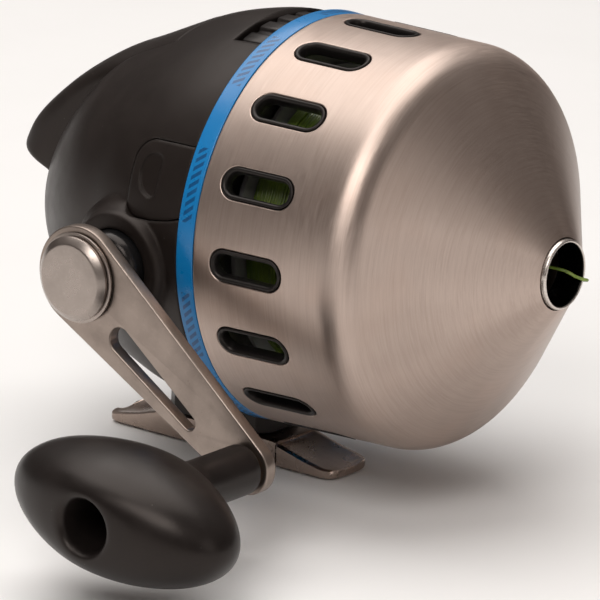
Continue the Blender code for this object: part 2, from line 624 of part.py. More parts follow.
def crowned(name, points, half, slot=None):
    """Solid across the button; points are (y, z, share of the crown, share of the corner rounding)."""
    stations = [0.0, 2.5, 4.7, 7.0, 8.6, 10.0, 11.1, 11.9, 12.5, 12.9, 13.1, BUTTON_W]
    stations = [x for x in stations if x < half - 0.05] + [half]
    rings = []
    for x in [-x for x in stations[:0:-1]] + stations:
        wide = abs(x)
        edge = max(0.0, wide - BUTTON_W + EDGE_R)
        corner = max(0.0, wide - BUTTON_W + CORNER_R)
        sink = CROWN_R - math.sqrt(CROWN_R ** 2 - x * x) + EDGE_R - math.sqrt(EDGE_R ** 2 - edge ** 2)
        pull = CORNER_R - math.sqrt(max(0.0, CORNER_R ** 2 - corner ** 2))
        rings.append([(x, y - pull * b, z - sink * a) for y, z, a, b in points])
    obj = loft(name, rings, slot)
    obj.modifiers.new("flat_faces", "TRIANGULATE")
    return obj


back = [(25.0, 33.2, 1, 0), (25.9, 33.6, 1, 0), (31.0, 31.4, 1, 0), (36.9, 28.8, 1, 0), (43.5, 26.0, 1, 0),
        (50.2, 22.0, 1, 0.2), (56.1, 17.4, 1, 0.55), (60.9, 12.6, 0.9, 0.9), (63.2, 8.2, 0.6, 1),
        (63.6, 5.4, 0.3, 1), (61.8, 3.2, 0.1, 1), (58.4, 1.6, 0, 0.8)]
under = [(53.0, -1.0, 0, 0.3), (50.6, 2.0, 0, 0.1), (47.0, 8.0, 0, 0), (42.0, 14.6, 0, 0),
         (36.0, 20.4, 0, 0), (31.0, 22.4, 0, 0), (25.2, 21.8, 0, 0), (24.9, 27.0, 0, 0)]
thumb_button = crowned("thumb_button", back + under, BUTTON_W, "shell")
hollow = [(26.9, 31.2, 1, 0), (31.2, 29.3, 1, 0), (36.0, 27.0, 1, 0), (42.5, 24.1, 1, 0), (48.9, 20.1, 1, 0.2),
          (54.9, 15.6, 1, 0.55), (59.2, 11.0, 0.9, 0.9), (61.2, 7.6, 0.6, 1), (61.1, 6.4, 0.4, 1),
          (60.4, 5.2, 0, 1), (57.4, 3.5, 0, 0.8), (54.0, 0.9, 0, 0.3), (52.0, -4.0, 0, 0),
          (24.0, -4.0, 0, 0), (20.0, 20.0, 0, 0), (20.0, 28.0, 0, 0), (26.9, 28.0, 0, 0)]
cut(thumb_button, crowned("button_hollow", hollow, BUTTON_W - 1.9))
pusher = prism("button_pusher", [(50.0, -2.2), (50.0, 9.0), (54.5, 16.6), (59.9, 11.4), (62.0, 7.0),
                                 (61.0, 4.6), (56.0, 1.2), (53.5, -2.2)], -3.8, 3.8)
weld(thumb_button, pusher)
cut(thumb_button, turned("button_bore", [(0.0, -20.0), (1.35, -20.0), (1.35, 20.0), (0.0, 20.0)],
                         axis="X", centre=(PIVOT_Y, PIVOT_Z), steps=20))
turned("button_pin", [(0.0, -17.6), (1.05, -17.6), (1.05, 17.6), (0.0, 17.6)], "bright",
       axis="X", centre=(PIVOT_Y, PIVOT_Z), steps=20)

# --- foot ----------------------------------------------------------------
stem = prism("foot_stem", [(-6.4, 9.5), (-4.4, 7.5), (4.4, 7.5), (6.4, 9.5), (6.4, 29.0), (4.4, 31.5),
                           (-4.4, 31.5), (-6.4, 29.0)], 5.35 - AXIS_H, 22.0 - AXIS_H, "black", axis="Z")
cut(stem, turned("stem_top", [(0.0, -5.0), (38.4, -5.0)] + [(r + drop + 0.3, y) for y, r, drop in SHELL]
                 + [(0.0, 58.9)], steps=48, start=0.0))
foot_stations = [(-8.0, 3.9, 1.7), (-7.3, 5.3, 1.8), (-5.6, 6.3, 2.0), (-1.0, 6.3, 2.9), (4.5, 6.3, 4.3),
                 (7.0, 6.3, 5.0), (31.0, 6.3, 5.0), (34.0, 6.3, 4.3), (39.0, 6.3, 2.9), (43.5, 6.3, 2.0),
                 (45.2, 5.3, 1.8), (46.0, 3.9, 1.7)]
foot_rings = []
for y, half, thick in foot_stations:
    dip = 0.55 if thick < 4.9 else 0.0
    tops = [(half, thick - 0.35), (half * 0.93, thick), (half * 0.5, thick - dip * 0.75), (0.0, thick - dip),
            (-half * 0.5, thick - dip * 0.75), (-half * 0.93, thick), (-half, thick - 0.35)]
    section = [(-half, 0.25), (-half + 0.25, 0.0), (half - 0.25, 0.0), (half, 0.25)] + tops
    foot_rings.append([(x, y, z - AXIS_H) for x, z in section])
reel_foot = loft("reel_foot", foot_rings, "brushed")
for i, (y, top) in enumerate(FOOT_SCREWS):
    spot = dict(axis="Z", centre=(0.0, y))
    low = top - AXIS_H
    cut(reel_foot, turned("foot_hole_%d" % i, [(0.0, 0.9 - AXIS_H), (1.75, 0.9 - AXIS_H),
                                               (1.75, 8.0 - AXIS_H), (0.0, 8.0 - AXIS_H)], steps=20, **spot))
    cut(stem, turned("stem_hole_%d" % i, [(0.0, -45.0), (1.9, -45.0), (1.9, -20.0), (0.0, -20.0)],
                     steps=20, **spot))
    turned("foot_screw_%d" % (i + 1), [(0.0, low + 2.1), (1.6, low + 2.1), (2.9, low + 1.4),
                                       (2.9, low + 0.3), (1.5, low + 0.3), (1.5, 1.6 - AXIS_H),
                                       (1.0, 1.1 - AXIS_H), (0.0, 1.1 - AXIS_H)], "bright", steps=14, **spot)

# --- fishing line --------------------------------------------------------
LEAD = [(33.0, -15.2), (33.2, -17.6), (32.2, -21.2), (27.0, -24.6), (18.0, -28.0), (8.0, -30.8),
        (1.5, -32.0)]
wire("line_lead", smooth_route([(pin_dir.x * r + 1.4 * pin_dir.z, y, pin_dir.z * r - 1.4 * pin_dir.x)
                                for r, y in LEAD], 3), LINE_R, "line")

# radius, y and angle from straight up: out of the nose, over its rim and back along the cone
TAIL = [(0.0, -36.6, 90.0), (0.5, -40.5, 82.0), (1.5, -46.0, 82.0), (3.2, -50.6, 96.0),
        (4.6, -52.45, 107.0), (5.22, -53.4, 109.0), (6.1, -53.78, 109.0), (6.85, -53.52, 109.1),
        (8.3, -52.2, 109.5), (10.2, -50.42, 110.2), (14.0, -47.69, 111.2), (18.5, -44.52, 111.0),
        (23.0, -41.35, 109.4), (27.5, -38.17, 107.0)]
tail_route = []
for r, y, degrees in TAIL:
    x, z = polar(r, degrees)
    tail_route.append((x, y, z))
wire("line_tail", smooth_route(tail_route, 4), LINE_R, "line")

# --- settle every piece --------------------------------------------------
bpy.context.view_layer.update()
depsgraph = bpy.context.evaluated_depsgraph_get()
settled = []
for obj in REEL.objects:
    settled.append((obj, bpy.data.meshes.new_from_object(obj.evaluated_get(depsgraph))))
for obj, mesh in settled:
    obj.modifiers.clear()
    old_materials = list(obj.data.materials)
    mesh.transform(obj.matrix_world)
    obj.matrix_world = Matrix.Identity(4)
    bm = bmesh.new()
    bm.from_mesh(mesh)
    bmesh.ops.remove_doubles(bm, verts=bm.verts[:], dist=0.000002)
    bmesh.ops.dissolve_degenerate(bm, edges=bm.edges[:], dist=0.000002)
    for face in bm.faces:
        face.material_index = 0
    bm.to_mesh(mesh)
    bm.free()
    mesh.materials.clear()
    mesh.materials.append(old_materials[0])
    obj.data = mesh
    mesh.shade_smooth()
    mesh.set_sharp_from_angle(angle=math.radians(32.0))
for obj in list(CUTTERS.objects):
    bpy.data.objects.remove(obj, do_unlink=True)
bpy.data.collections.remove(CUTTERS)
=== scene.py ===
"""Looks of the spincast reel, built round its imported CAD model.

Helper coordinates are millimetres from the reel axis, y = 0 at the cover's
rear edge, nose towards -y, crank side at -x. `place` turns them into metres
in the row frame.
"""

import math
import random

import bmesh
import bpy
from mathutils import Matrix, Vector


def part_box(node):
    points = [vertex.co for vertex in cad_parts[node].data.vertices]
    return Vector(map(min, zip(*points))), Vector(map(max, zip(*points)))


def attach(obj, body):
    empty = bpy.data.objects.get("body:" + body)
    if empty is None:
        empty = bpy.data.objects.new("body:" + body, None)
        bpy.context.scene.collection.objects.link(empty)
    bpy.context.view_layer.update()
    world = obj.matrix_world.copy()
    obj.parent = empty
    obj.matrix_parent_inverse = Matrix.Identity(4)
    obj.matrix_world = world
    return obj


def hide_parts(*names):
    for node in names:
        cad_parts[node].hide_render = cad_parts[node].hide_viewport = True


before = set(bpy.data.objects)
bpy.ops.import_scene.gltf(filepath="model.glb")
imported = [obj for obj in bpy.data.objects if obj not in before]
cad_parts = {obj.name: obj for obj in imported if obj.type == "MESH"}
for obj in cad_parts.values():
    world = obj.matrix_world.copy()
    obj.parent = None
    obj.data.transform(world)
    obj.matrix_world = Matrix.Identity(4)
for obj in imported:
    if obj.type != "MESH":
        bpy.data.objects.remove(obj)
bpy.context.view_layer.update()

MM = 0.001
shaft_low, shaft_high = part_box("center_shaft")
cover_low, cover_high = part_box("front_cover")
AXIS = Vector(((shaft_low.x + shaft_high.x) / 2, cover_high.y, (shaft_low.z + shaft_high.z) / 2))

COVER_R = 37.8         # cover radius at its rear edge
COVER_TAPER = 0.032    # radius lost per millimetre towards the nose
COVER_WALL = 0.8
SHOULDER_Y = -26.9     # where the shoulder bend starts
SHOULDER_R = 8.4
CONE_ANGLE = math.radians(54.8)
NOSE_R = 6.5           # steel edge round the nose hole
SLOTS = 16
SLOT_Y = -11.44
SLOT_HALF = 4.7        # half of a slot's straight run
SLOT_R = 3.0           # radius of its round ends
CRANK = (16.65, -4.36)  # y and z of the crank shaft
KNOB = (-21.9, -30.8)   # y and z of the knob spindle
KNOB_TILT = math.radians(7.6)


def place(x, y, z):
    return AXIS + Vector((x, y, z)) * MM


# --- camera --------------------------------------------------------------
CAMERA_ANGLES = (-52.396, 16.095, 1.854)       # azimuth, elevation and roll in degrees
CAMERA_SPOT = (-579.65, -441.41, 194.74)
CAMERA_LENS = 248.49


def look_camera():
    azimuth, elevation, roll = (math.radians(v) for v in CAMERA_ANGLES)
    back = Vector((math.sin(azimuth) * math.cos(elevation), -math.cos(azimuth) * math.cos(elevation),
                   math.sin(elevation)))
    side = Vector((math.cos(azimuth), math.sin(azimuth), 0.0))
    up = back.cross(side)
    right = side * math.cos(roll) + up * math.sin(roll)
    top = up * math.cos(roll) - side * math.sin(roll)
    data = bpy.data.cameras.new("camera")
    data.sensor_width = 36.0
    data.lens = CAMERA_LENS
    data.clip_start = 0.01
    data.clip_end = 50.0
    camera = bpy.data.objects.new("camera", data)
    spot = place(*CAMERA_SPOT)
    camera.matrix_world = Matrix(((right.x, top.x, back.x, spot.x), (right.y, top.y, back.y, spot.y),
                                  (right.z, top.z, back.z, spot.z), (0.0, 0.0, 0.0, 1.0)))
    bpy.context.scene.collection.objects.link(camera)
    bpy.context.scene.camera = camera


look_camera()


# --- mesh helpers --------------------------------------------------------
def finish_mesh(name, bm, sharp=38.0):
    """Object from a bmesh, smooth except over edges sharper than the given degrees."""
    bmesh.ops.remove_doubles(bm, verts=bm.verts[:], dist=0.0000004)
    bmesh.ops.recalc_face_normals(bm, faces=bm.faces[:])
    mesh = bpy.data.meshes.new(name)
    bm.to_mesh(mesh)
    bm.free()
    mesh.shade_smooth()
    mesh.set_sharp_from_angle(angle=math.radians(sharp))
    obj = bpy.data.objects.new(name, mesh)
    bpy.context.scene.collection.objects.link(obj)
    return obj


def fillet(profile, radius, steps=3, skip=()):
    """Closed outline with its corners rounded; corners listed in skip stay as they are."""
    out = []
    count = len(profile)
    for i in range(count):
        p = Vector(profile[i])
        before = Vector(profile[i - 1]) - p
        after = Vector(profile[(i + 1) % count]) - p
        if i in skip or p.x < 1e-6 or before.length < 1e-6 or after.length < 1e-6:
            out.append(tuple(p))
            continue
        a = p + before.normalized() * min(radius, before.length * 0.45)
        b = p + after.normalized() * min(radius, after.length * 0.45)
        for k in range(steps + 1):
            t = k / steps
            out.append(tuple(a * (1 - t) ** 2 + p * 2 * t * (1 - t) + b * t * t))
    return out


def smooth_run(points, per_leg):
    """Catmull-Rom curve through points of any size."""
    ends = [points[0]] + list(points) + [points[-1]]
    out = []
    for i in range(1, len(ends) - 2):
        p0, p1, p2, p3 = (Vector(ends[i + k]) for k in (-1, 0, 1, 2))
        for k in range(per_leg):
            t = k / per_leg
            out.append(tuple(0.5 * ((2 * p1) + (p2 - p0) * t + (2 * p0 - 5 * p1 + 4 * p2 - p3) * t * t
                                    + (3 * p1 - p0 - 3 * p2 + p3) * t ** 3)))
    out.append(tuple(points[-1]))
    return out


def lathe(name, profile, axis="Y", centre=(0.0, 0.0), steps=128, sharp=38.0):
    """Turned solid from a closed (radius, distance) outline."""
    bm = bmesh.new()
    rows = []
    for radius, along in profile:
        row = []
        for i in range(steps if radius > 1e-6 else 1):
            a = math.tau * i / steps
            u, v = radius * math.sin(a), radius * math.cos(a)
            spot = {"Y": (centre[0] + u, along, centre[1] + v),
                    "X": (along, centre[0] + u, centre[1] + v),
                    "Z": (centre[0] + u, centre[1] + v, along)}[axis]
            row.append(bm.verts.new(place(*spot)))
        rows.append(row)
    for low, high in zip(rows, rows[1:] + rows[:1]):
        if len(low) == 1 and len(high) == 1:
            continue
        for i in range(steps):
            j = (i + 1) % steps
            corners = [low[i % len(low)], low[j % len(low)], high[j % len(high)], high[i % len(high)]]
            unique = [v for k, v in enumerate(corners) if v not in corners[:k]]
            bm.faces.new(unique)
    return finish_mesh(name, bm, sharp)


def loft(name, rings, closed=False, sharp=38.0):
    """Solid through equal rings of points; closed joins the last ring to the first."""
    bm = bmesh.new()
    loops = [[bm.verts.new(place(*p)) for p in ring] for ring in rings]
    count = len(rings[0])
    pairs = list(zip(loops, loops[1:] + loops[:1])) if closed else list(zip(loops, loops[1:]))
    for low, high in pairs:
        for i in range(count):
            j = (i + 1) % count
            bm.faces.new((low[i], low[j], high[j], high[i]))
    if not closed:
        bm.faces.new(loops[0])
        bm.faces.new(loops[-1])
    return finish_mesh(name, bm, sharp)


def stands_for(obj, body, slot, *nodes):
    """Ties a piece to its body in place of CAD nodes, which it hides; the slot argument is not used."""
    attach(obj, body)
    if nodes:
        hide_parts(*nodes)
    return obj


# --- the free end of the line --------------------------------------------
TAIL = [(0.0, -36.6, 90.0), (0.5, -40.5, 82.0), (1.5, -46.0, 82.0), (3.2, -50.6, 96.0),
        (4.6, -52.45, 107.0), (5.22, -53.4, 109.0), (6.1, -53.78, 109.0), (6.85, -53.52, 109.1),
        (8.3, -52.2, 109.5), (10.2, -50.42, 110.2), (14.0, -47.69, 111.2), (18.5, -44.52, 111.0),
        (23.0, -41.35, 109.4), (27.5, -38.17, 107.0)]
LINE_R = 0.3


def tail_points():
    route = []
    for r, y, degrees in TAIL:
        a = math.radians(degrees)
        route.append((r * math.sin(a), y, r * math.cos(a)))
    return [place(*p) for p in smooth_run(route, 6)]


def make_tail():
    points = tail_points()
    sides = 10
    bm = bmesh.new()
    rings = []
    for k, p in enumerate(points):
        ahead = (points[min(k + 1, len(points) - 1)] - points[max(k - 1, 0)]).normalized()
        over = ahead.cross(Vector((0.31, 0.12, 0.94))).normalized()
        other = ahead.cross(over)
        rings.append([bm.verts.new(p + (over * math.cos(math.tau * s / sides)
                                        + other * math.sin(math.tau * s / sides)) * LINE_R * MM)
                      for s in range(sides)])
    for low, high in zip(rings, rings[1:]):
        for s in range(sides):
            t = (s + 1) % sides
            bm.faces.new((low[s], low[t], high[t], high[s]))
    bm.faces.new(rings[0])
    bm.faces.new(rings[-1])
    line = finish_mesh("free_line", bm, 60.0)
    stands_for(line, "housing", "line_nylon", "line_tail")
    return line


free_line = make_tail()


# --- front cover ---------------------------------------------------------
AROUND = 12            # steps across one sixteenth of the cover
SECTOR = math.tau / SLOTS
HALF_V = math.pi * COVER_R / SLOTS
PANEL_HALF = 9.8       # half length of the panel round each slot


def side_radius(y, depth):
    return COVER_R + COVER_TAPER * y - depth


def on_side(sector, y, v, depth):
    a = SECTOR * sector + v / COVER_R
    r = side_radius(y, depth)
    return place(r * math.sin(a), y, r * math.cos(a))


def panel_edge():
    """Outline of the panel round a slot, as (distance from the slot's middle, v)."""
    rows = 16
    edge = [(-PANEL_HALF, -HALF_V + 2 * HALF_V * k / AROUND) for k in range(AROUND)]
    edge += [(-PANEL_HALF + 2 * PANEL_HALF * k / rows, HALF_V) for k in range(rows)]
    edge += [(PANEL_HALF, HALF_V - 2 * HALF_V * k / AROUND) for k in range(AROUND)]
    edge += [(PANEL_HALF - 2 * PANEL_HALF * k / rows, -HALF_V) for k in range(rows)]
    return edge


def slot_point(edge_point, offset):
    """Point of the slot's outline, moved out by offset, that faces a point of the panel's edge."""
    d, v = edge_point
    if abs(d) <= SLOT_HALF:
        return d, math.copysign(SLOT_R + offset, v)
    centre = math.copysign(SLOT_HALF, d)
    away = Vector((d - centre, v)).normalized() * (SLOT_R + offset)
    return centre + away.x, away.y


def slotted_shell(name, section, rear_out, front_out, rear_in, front_in):
    """Closed shell with sixteen slots.

    section lists (offset from the slot's outline or None for the panel edge, depth)
    from outside to inside; the other lists are (radius, y) rings that carry the outer
    and inner skins on to the rear and front edges.
    """
    bm = bmesh.new()
    edge = panel_edge()
    for sector in range(SLOTS):
        loops = []
        for offset, depth in section:
            loop = []
            for point in edge:
                d, v = point if offset is None else slot_point(point, offset)
                loop.append(bm.verts.new(on_side(sector, SLOT_Y + d, v, depth)))
            loops.append(loop)
        for low, high in zip(loops, loops[1:]):
            for i in range(len(edge)):
                j = (i + 1) % len(edge)
                bm.faces.new((low[i], low[j], high[j], high[i]))

    def strip(rings):
        rows = []
        for radius, y in rings:
            row = []
            for i in range(AROUND * SLOTS):
                a = SECTOR * (i / AROUND - 0.5)
                row.append(bm.verts.new(place(radius * math.sin(a), y, radius * math.cos(a))))
            rows.append(row)
        for low, high in zip(rows, rows[1:]):
            for i in range(len(low)):
                j = (i + 1) % len(low)
                bm.faces.new((low[i], low[j], high[j], high[i]))

    rear_y = SLOT_Y + PANEL_HALF
    front_y = SLOT_Y - PANEL_HALF
    skin_out = section[0][1]
    skin_in = section[-1][1]
    strip([(side_radius(rear_y, skin_out), rear_y)] + rear_out + rear_in[::-1]
          + [(side_radius(rear_y, skin_in), rear_y)])
    strip([(side_radius(front_y, skin_out), front_y)] + front_out + front_in[::-1]
          + [(side_radius(front_y, skin_in), front_y)])
    return finish_mesh(name, bm, 50.0)


def nose_side(inset, steps=14, cone_steps=14):
    """Rings of the shoulder and cone, moved in by inset, from the side to the nose."""
    lean = math.atan(COVER_TAPER)
    centre = (COVER_R + COVER_TAPER * SHOULDER_Y - SHOULDER_R * math.cos(lean),
              SHOULDER_Y + SHOULDER_R * math.sin(lean))
    radius = SHOULDER_R - inset
    rings = [(side_radius(y, inset), y) for y in (-22.6, -24.4, -25.9)]
    for i in range(steps + 1):
        a = lean + (CONE_ANGLE - lean) * i / steps
        rings.append((centre[0] + radius * math.cos(a), centre[1] - radius * math.sin(a)))
    r0, y0 = rings[-1]
    for i in range(1, cone_steps + 1):
        r = r0 + (NOSE_R - r0) * i / cone_steps
        rings.append((r, y0 - (r0 - r) / math.tan(CONE_ANGLE)))
    return rings


def make_cover():
    section = [(None, 0.0), (1.4, 0.0), (0.7, 0.0), (0.32, 0.0), (0.26, 0.0), (0.19, 0.025), (0.1, 0.09),
               (0.03, 0.2), (0.0, 0.34), (0.0, 0.62), (0.0, COVER_WALL), (0.4, COVER_WALL),
               (None, COVER_WALL)]
    outer = nose_side(0.0)
    inner = nose_side(COVER_WALL)
    tip_r, tip_y = outer[-1]
    outer = outer[:-1] + [(tip_r + 0.22, tip_y + 0.16), (tip_r + 0.06, tip_y + 0.07), (tip_r, tip_y + 0.22)]
    inner[-1] = (tip_r, tip_y + 0.9)
    rear_edge = ((-1.1, 0.0), (-0.5, 0.0), (-0.22, 0.0), (-0.1, 0.03), (0.0, 0.14))
    rear_out = [(side_radius(y, d), y) for y, d in rear_edge]
    rear_in = [(side_radius(y, COVER_WALL), y) for y in (-1.1, -0.5, -0.05)] + [(side_radius(0.0, 0.72), 0.0)]
    cover = slotted_shell("cover_skin", section, rear_out, outer, rear_in, inner)
    return stands_for(cover, "housing", "brushed_steel", "front_cover")


def make_liner():
    skin = 1.1
    inside = 2.15
    section = [(None, skin), (0.4, skin), (-0.12, skin), (-0.13, 0.2), (-0.15, 0.02), (-0.22, -0.09),
               (-0.34, -0.12), (-0.5, -0.11), (-0.66, -0.05), (-0.8, 0.06), (-0.9, 0.22), (-0.97, 0.45),
               (-1.0, 0.75), (-1.0, 1.6), (-0.97, 2.0), (-0.85, inside), (0.4, inside), (None, inside)]
    rear_out = [(side_radius(-1.0, skin), -1.0), (side_radius(-0.3, skin), -0.3)]
    front_out = [(side_radius(-22.0, skin), -22.0)]
    rear_in = [(side_radius(-1.0, inside), -1.0), (side_radius(-0.3, inside), -0.3)]
    front_in = [(side_radius(-22.0, inside), -22.0)]
    liner = slotted_shell("liner_skin", section, rear_out, front_out, rear_in, front_in)
    return stands_for(liner, "housing", "black_plastic", "cover_liner")


cover_skin = make_cover()
liner_skin = make_liner()

band_skin = lathe("band_skin", fillet([(37.75, 0.15), (38.05, 3.55), (36.95, 3.55), (36.95, 0.15)], 0.16, 3),
                  steps=192)
stands_for(band_skin, "housing", "blue_plastic", "trim_band")

nose_skin = lathe("nose_skin", fillet([(5.98, -53.38), (6.32, -53.05), (6.32, -48.4), (8.2, -48.4),
                                       (8.2, -47.6), (5.95, -47.4), (5.65, -48.0), (5.65, -53.05)], 0.22, 3),
                  steps=96)
stands_for(nose_skin, "housing", "die_cast_zinc", "nose_ring")


# --- spool winding and spinner rim ---------------------------------------
def make_winding():
    """Strands of line on a solid core: even turns, then a few that cross them."""
    rng = random.Random(808)
    bm = bmesh.new()
    core = [(15.9, -3.45), (26.7, -3.2), (27.4, -6.4), (27.3, -10.4), (26.5, -13.6), (15.9, -13.4)]
    rows = []
    for r, y in core:
        rows.append([bm.verts.new(place(r * math.sin(math.tau * i / 96), y, r * math.cos(math.tau * i / 96)))
                     for i in range(96)])
    for low, high in zip(rows, rows[1:] + rows[:1]):
        for i in range(96):
            j = (i + 1) % 96
            bm.faces.new((low[i], low[j], high[j], high[i]))

    def crown(y):
        """Radius of the wound surface."""
        if y > -6.4:
            return 27.2 + (27.9 - 27.2) * (-3.15 - y) / 3.25
        return 27.9 - 0.9 * max(0.0, -y - 10.4) / 3.3

    def strand(points):
        sides = 6
        rings = []
        for k, p in enumerate(points):
            ahead = (points[min(k + 1, len(points) - 1)] - points[max(k - 1, 0)]).normalized()
            out = Vector((p.x - AXIS.x, 0.0, p.z - AXIS.z)).normalized()
            across = ahead.cross(out).normalized()
            rings.append([bm.verts.new(p + (out * math.cos(math.tau * s / sides)
                                            + across * math.sin(math.tau * s / sides)) * LINE_R * MM)
                          for s in range(sides)])
        for low, high in zip(rings, rings[1:]):
            for s in range(sides):
                t = (s + 1) % sides
                bm.faces.new((low[s], low[t], high[t], high[s]))
        bm.faces.new(rings[0])
        bm.faces.new(rings[-1])

    per_turn = 72
    turns = 17
    wander = [rng.uniform(-0.05, 0.05) for _ in range(turns * 6 + 2)]
    points = []
    for i in range(turns * per_turn + 1):
        share = i / (turns * per_turn)
        slot_of = share * turns * 6
        k = int(slot_of)
        drift = wander[k] * (1 - slot_of + k) + wander[k + 1] * (slot_of - k)
        y = -3.55 - 9.75 * share + drift
        a = math.tau * i / per_turn
        r = crown(y) - LINE_R
        points.append(place(r * math.sin(a), y, r * math.cos(a)))
    strand(points)
    for _ in range(7):
        start = rng.uniform(0.0, math.tau)
        y0, y1 = (-4.2, -12.8) if rng.random() < 0.5 else (-12.8, -4.2)
        span = rng.uniform(1.6, 2.9)
        points = []
        for i in range(61):
            t = i / 60
            y = y0 + (y1 - y0) * t
            dip = 0.5 * (2 * t - 1) ** 6
            r = crown(y) + LINE_R * 0.55 - dip
            a = start + span * t
            points.append(place(r * math.sin(a), y, r * math.cos(a)))
        strand(points)
    return stands_for(finish_mesh("winding", bm, 60.0), "spool", "line_nylon", "spool_line")


winding = make_winding()

spinner_outline = [(2.15, -17.8), (6.0, -17.8), (6.4, -19.4), (28.0, -19.4), (30.4, -18.0), (30.7, -14.5),
                   (31.2, -14.1), (31.9, -14.2), (32.1, -14.8), (31.9, -18.2), (30.6, -20.1), (28.0, -20.7),
                   (6.6, -20.8), (6.0, -22.2), (2.15, -22.2)]
spinner_skin = lathe("spinner_skin", fillet(spinner_outline, 0.35, 3), steps=128)
stands_for(spinner_skin, "line_rotor", "bright_steel", "spinner_head")


# --- crank ---------------------------------------------------------------
def arc(cy, cz, r, a0, a1, steps):
    return [(cy + r * math.cos(math.radians(a0 + (a1 - a0) * i / steps)),
             cz + r * math.sin(math.radians(a0 + (a1 - a0) * i / steps))) for i in range(steps + 1)]


def capsule(y0, z0, r0, y1, z1, r1, steps):
    along = math.degrees(math.atan2(z1 - z0, y1 - y0))
    lean = math.degrees(math.asin((r0 - r1) / math.hypot(y1 - y0, z1 - z0)))
    return (arc(y0, z0, r0, along + 90 - lean, along + 270 + lean, steps)
            + arc(y1, z1, r1, along - 90 + lean, along + 90 - lean, steps))


def plate(name, outlines, x_low, x_high, edge, rounds=3):
    """Flat plate across x from outlines in (y, z); outlines after the first are holes."""
    curve = bpy.data.curves.new(name, "CURVE")
    curve.dimensions = "2D"
    curve.fill_mode = "BOTH"
    curve.bevel_depth = edge * MM
    curve.bevel_resolution = rounds
    curve.offset = -edge * MM
    curve.extrude = ((x_high - x_low) / 2 - edge) * MM
    for outline in outlines:
        spline = curve.splines.new("POLY")
        spline.points.add(len(outline) - 1)
        spline.use_cyclic_u = True
        for target, (y, z) in zip(spline.points, outline):
            target.co = (y * MM, z * MM, 0.0, 1.0)
    shape = bpy.data.objects.new(name + "_outline", curve)
    bpy.context.scene.collection.objects.link(shape)
    bpy.context.view_layer.update()
    flat = bpy.data.meshes.new_from_object(shape.evaluated_get(bpy.context.evaluated_depsgraph_get()))
    bpy.data.objects.remove(shape, do_unlink=True)
    middle = place((x_low + x_high) / 2, 0.0, 0.0)
    flat.transform(Matrix(((0, 0, 1, middle.x), (1, 0, 0, middle.y), (0, 1, 0, middle.z), (0, 0, 0, 1))))
    bm = bmesh.new()
    bm.from_mesh(flat)
    return finish_mesh(name, bm, 24.0)


arm_skin = plate("arm_skin", [capsule(*CRANK, 9.2, *KNOB, 4.9, 40),
                              capsule(6.8, -14.0, 2.35, -9.2, -25.5, 1.35, 20),
                              arc(*CRANK, 3.2, 0, 350, 35), arc(*KNOB, 2.0, 0, 345, 23)], -49.0, -46.5, 0.3)
stands_for(arm_skin, "crank", "brushed_steel", "crank_arm")

cap_skin = lathe("cap_skin", [(0.0, -51.42)] + [(6.1, -51.5), (6.35, -51.47), (6.52, -51.38), (7.5, -50.62),
                                               (7.6, -50.5), (7.62, -50.35), (7.6, -50.05), (7.5, -50.0),
                                               (1.5, -50.0), (1.5, -42.0), (0.0, -42.0)],
                 "X", CRANK, 96, 30.0)
stands_for(cap_skin, "crank", "bright_steel", "crank_cap")
washer_outline = [(1.9, -49.3), (8.15, -49.3), (8.15, -49.75), (1.9, -49.75)]
washer_skin = lathe("washer_skin", fillet(washer_outline, 0.12, 2), "X", CRANK, 96)
stands_for(washer_skin, "crank", "bright_steel", "cap_washer")
collar_skin = lathe("collar_skin", fillet([(4.3, -42.6), (5.4, -42.6), (6.3, -42.0), (6.75, -40.8),
                                           (6.75, -20.5), (4.3, -20.5)], 0.9, 5), "X", CRANK, 96)
stands_for(collar_skin, "housing", "black_plastic", "crank_bush")


# --- knob ----------------------------------------------------------------
def knob_ring(x, long, short, count=96):
    ring = []
    for i in range(count):
        a = math.tau * i / count
        u = long * math.cos(a)
        v = short * math.sin(a)
        ring.append((x, KNOB[0] - u * math.cos(KNOB_TILT) - v * math.sin(KNOB_TILT),
                     KNOB[1] - u * math.sin(KNOB_TILT) + v * math.cos(KNOB_TILT)))
    return ring


def make_knob():
    neck = [(-49.9, 3.7), (-49.9, 4.1), (-49.96, 4.3), (-50.12, 4.44), (-50.35, 4.5), (-51.5, 4.5),
            (-56.0, 4.5), (-60.5, 4.5)]
    body = smooth_run([(-62.5, 4.5, 4.5), (-65.0, 5.1, 4.9), (-67.2, 7.0, 5.8), (-69.0, 10.7, 7.0),
                       (-71.0, 15.0, 8.4), (-73.6, 18.8, 9.5), (-76.8, 21.6, 10.3), (-80.0, 22.5, 10.6),
                       (-83.6, 21.8, 10.3), (-86.8, 19.3, 9.5), (-89.3, 15.3, 8.3), (-90.8, 10.9, 7.1),
                       (-91.5, 7.3, 6.1), (-91.6, 5.6, 5.3), (-91.2, 4.9, 4.9)], 4)
    bore = [(-90.7, 4.65), (-90.2, 4.55), (-80.0, 4.25), (-71.0, 4.0), (-70.7, 3.95), (-70.7, 3.7)]
    rings = [(x, r, r) for x, r in neck] + body + [(x, r, r) for x, r in bore]
    knob = loft("knob_skin", [knob_ring(*ring) for ring in rings], closed=True)
    return stands_for(knob, "knob", "knob_plastic", "knob_grip")


knob_skin = make_knob()


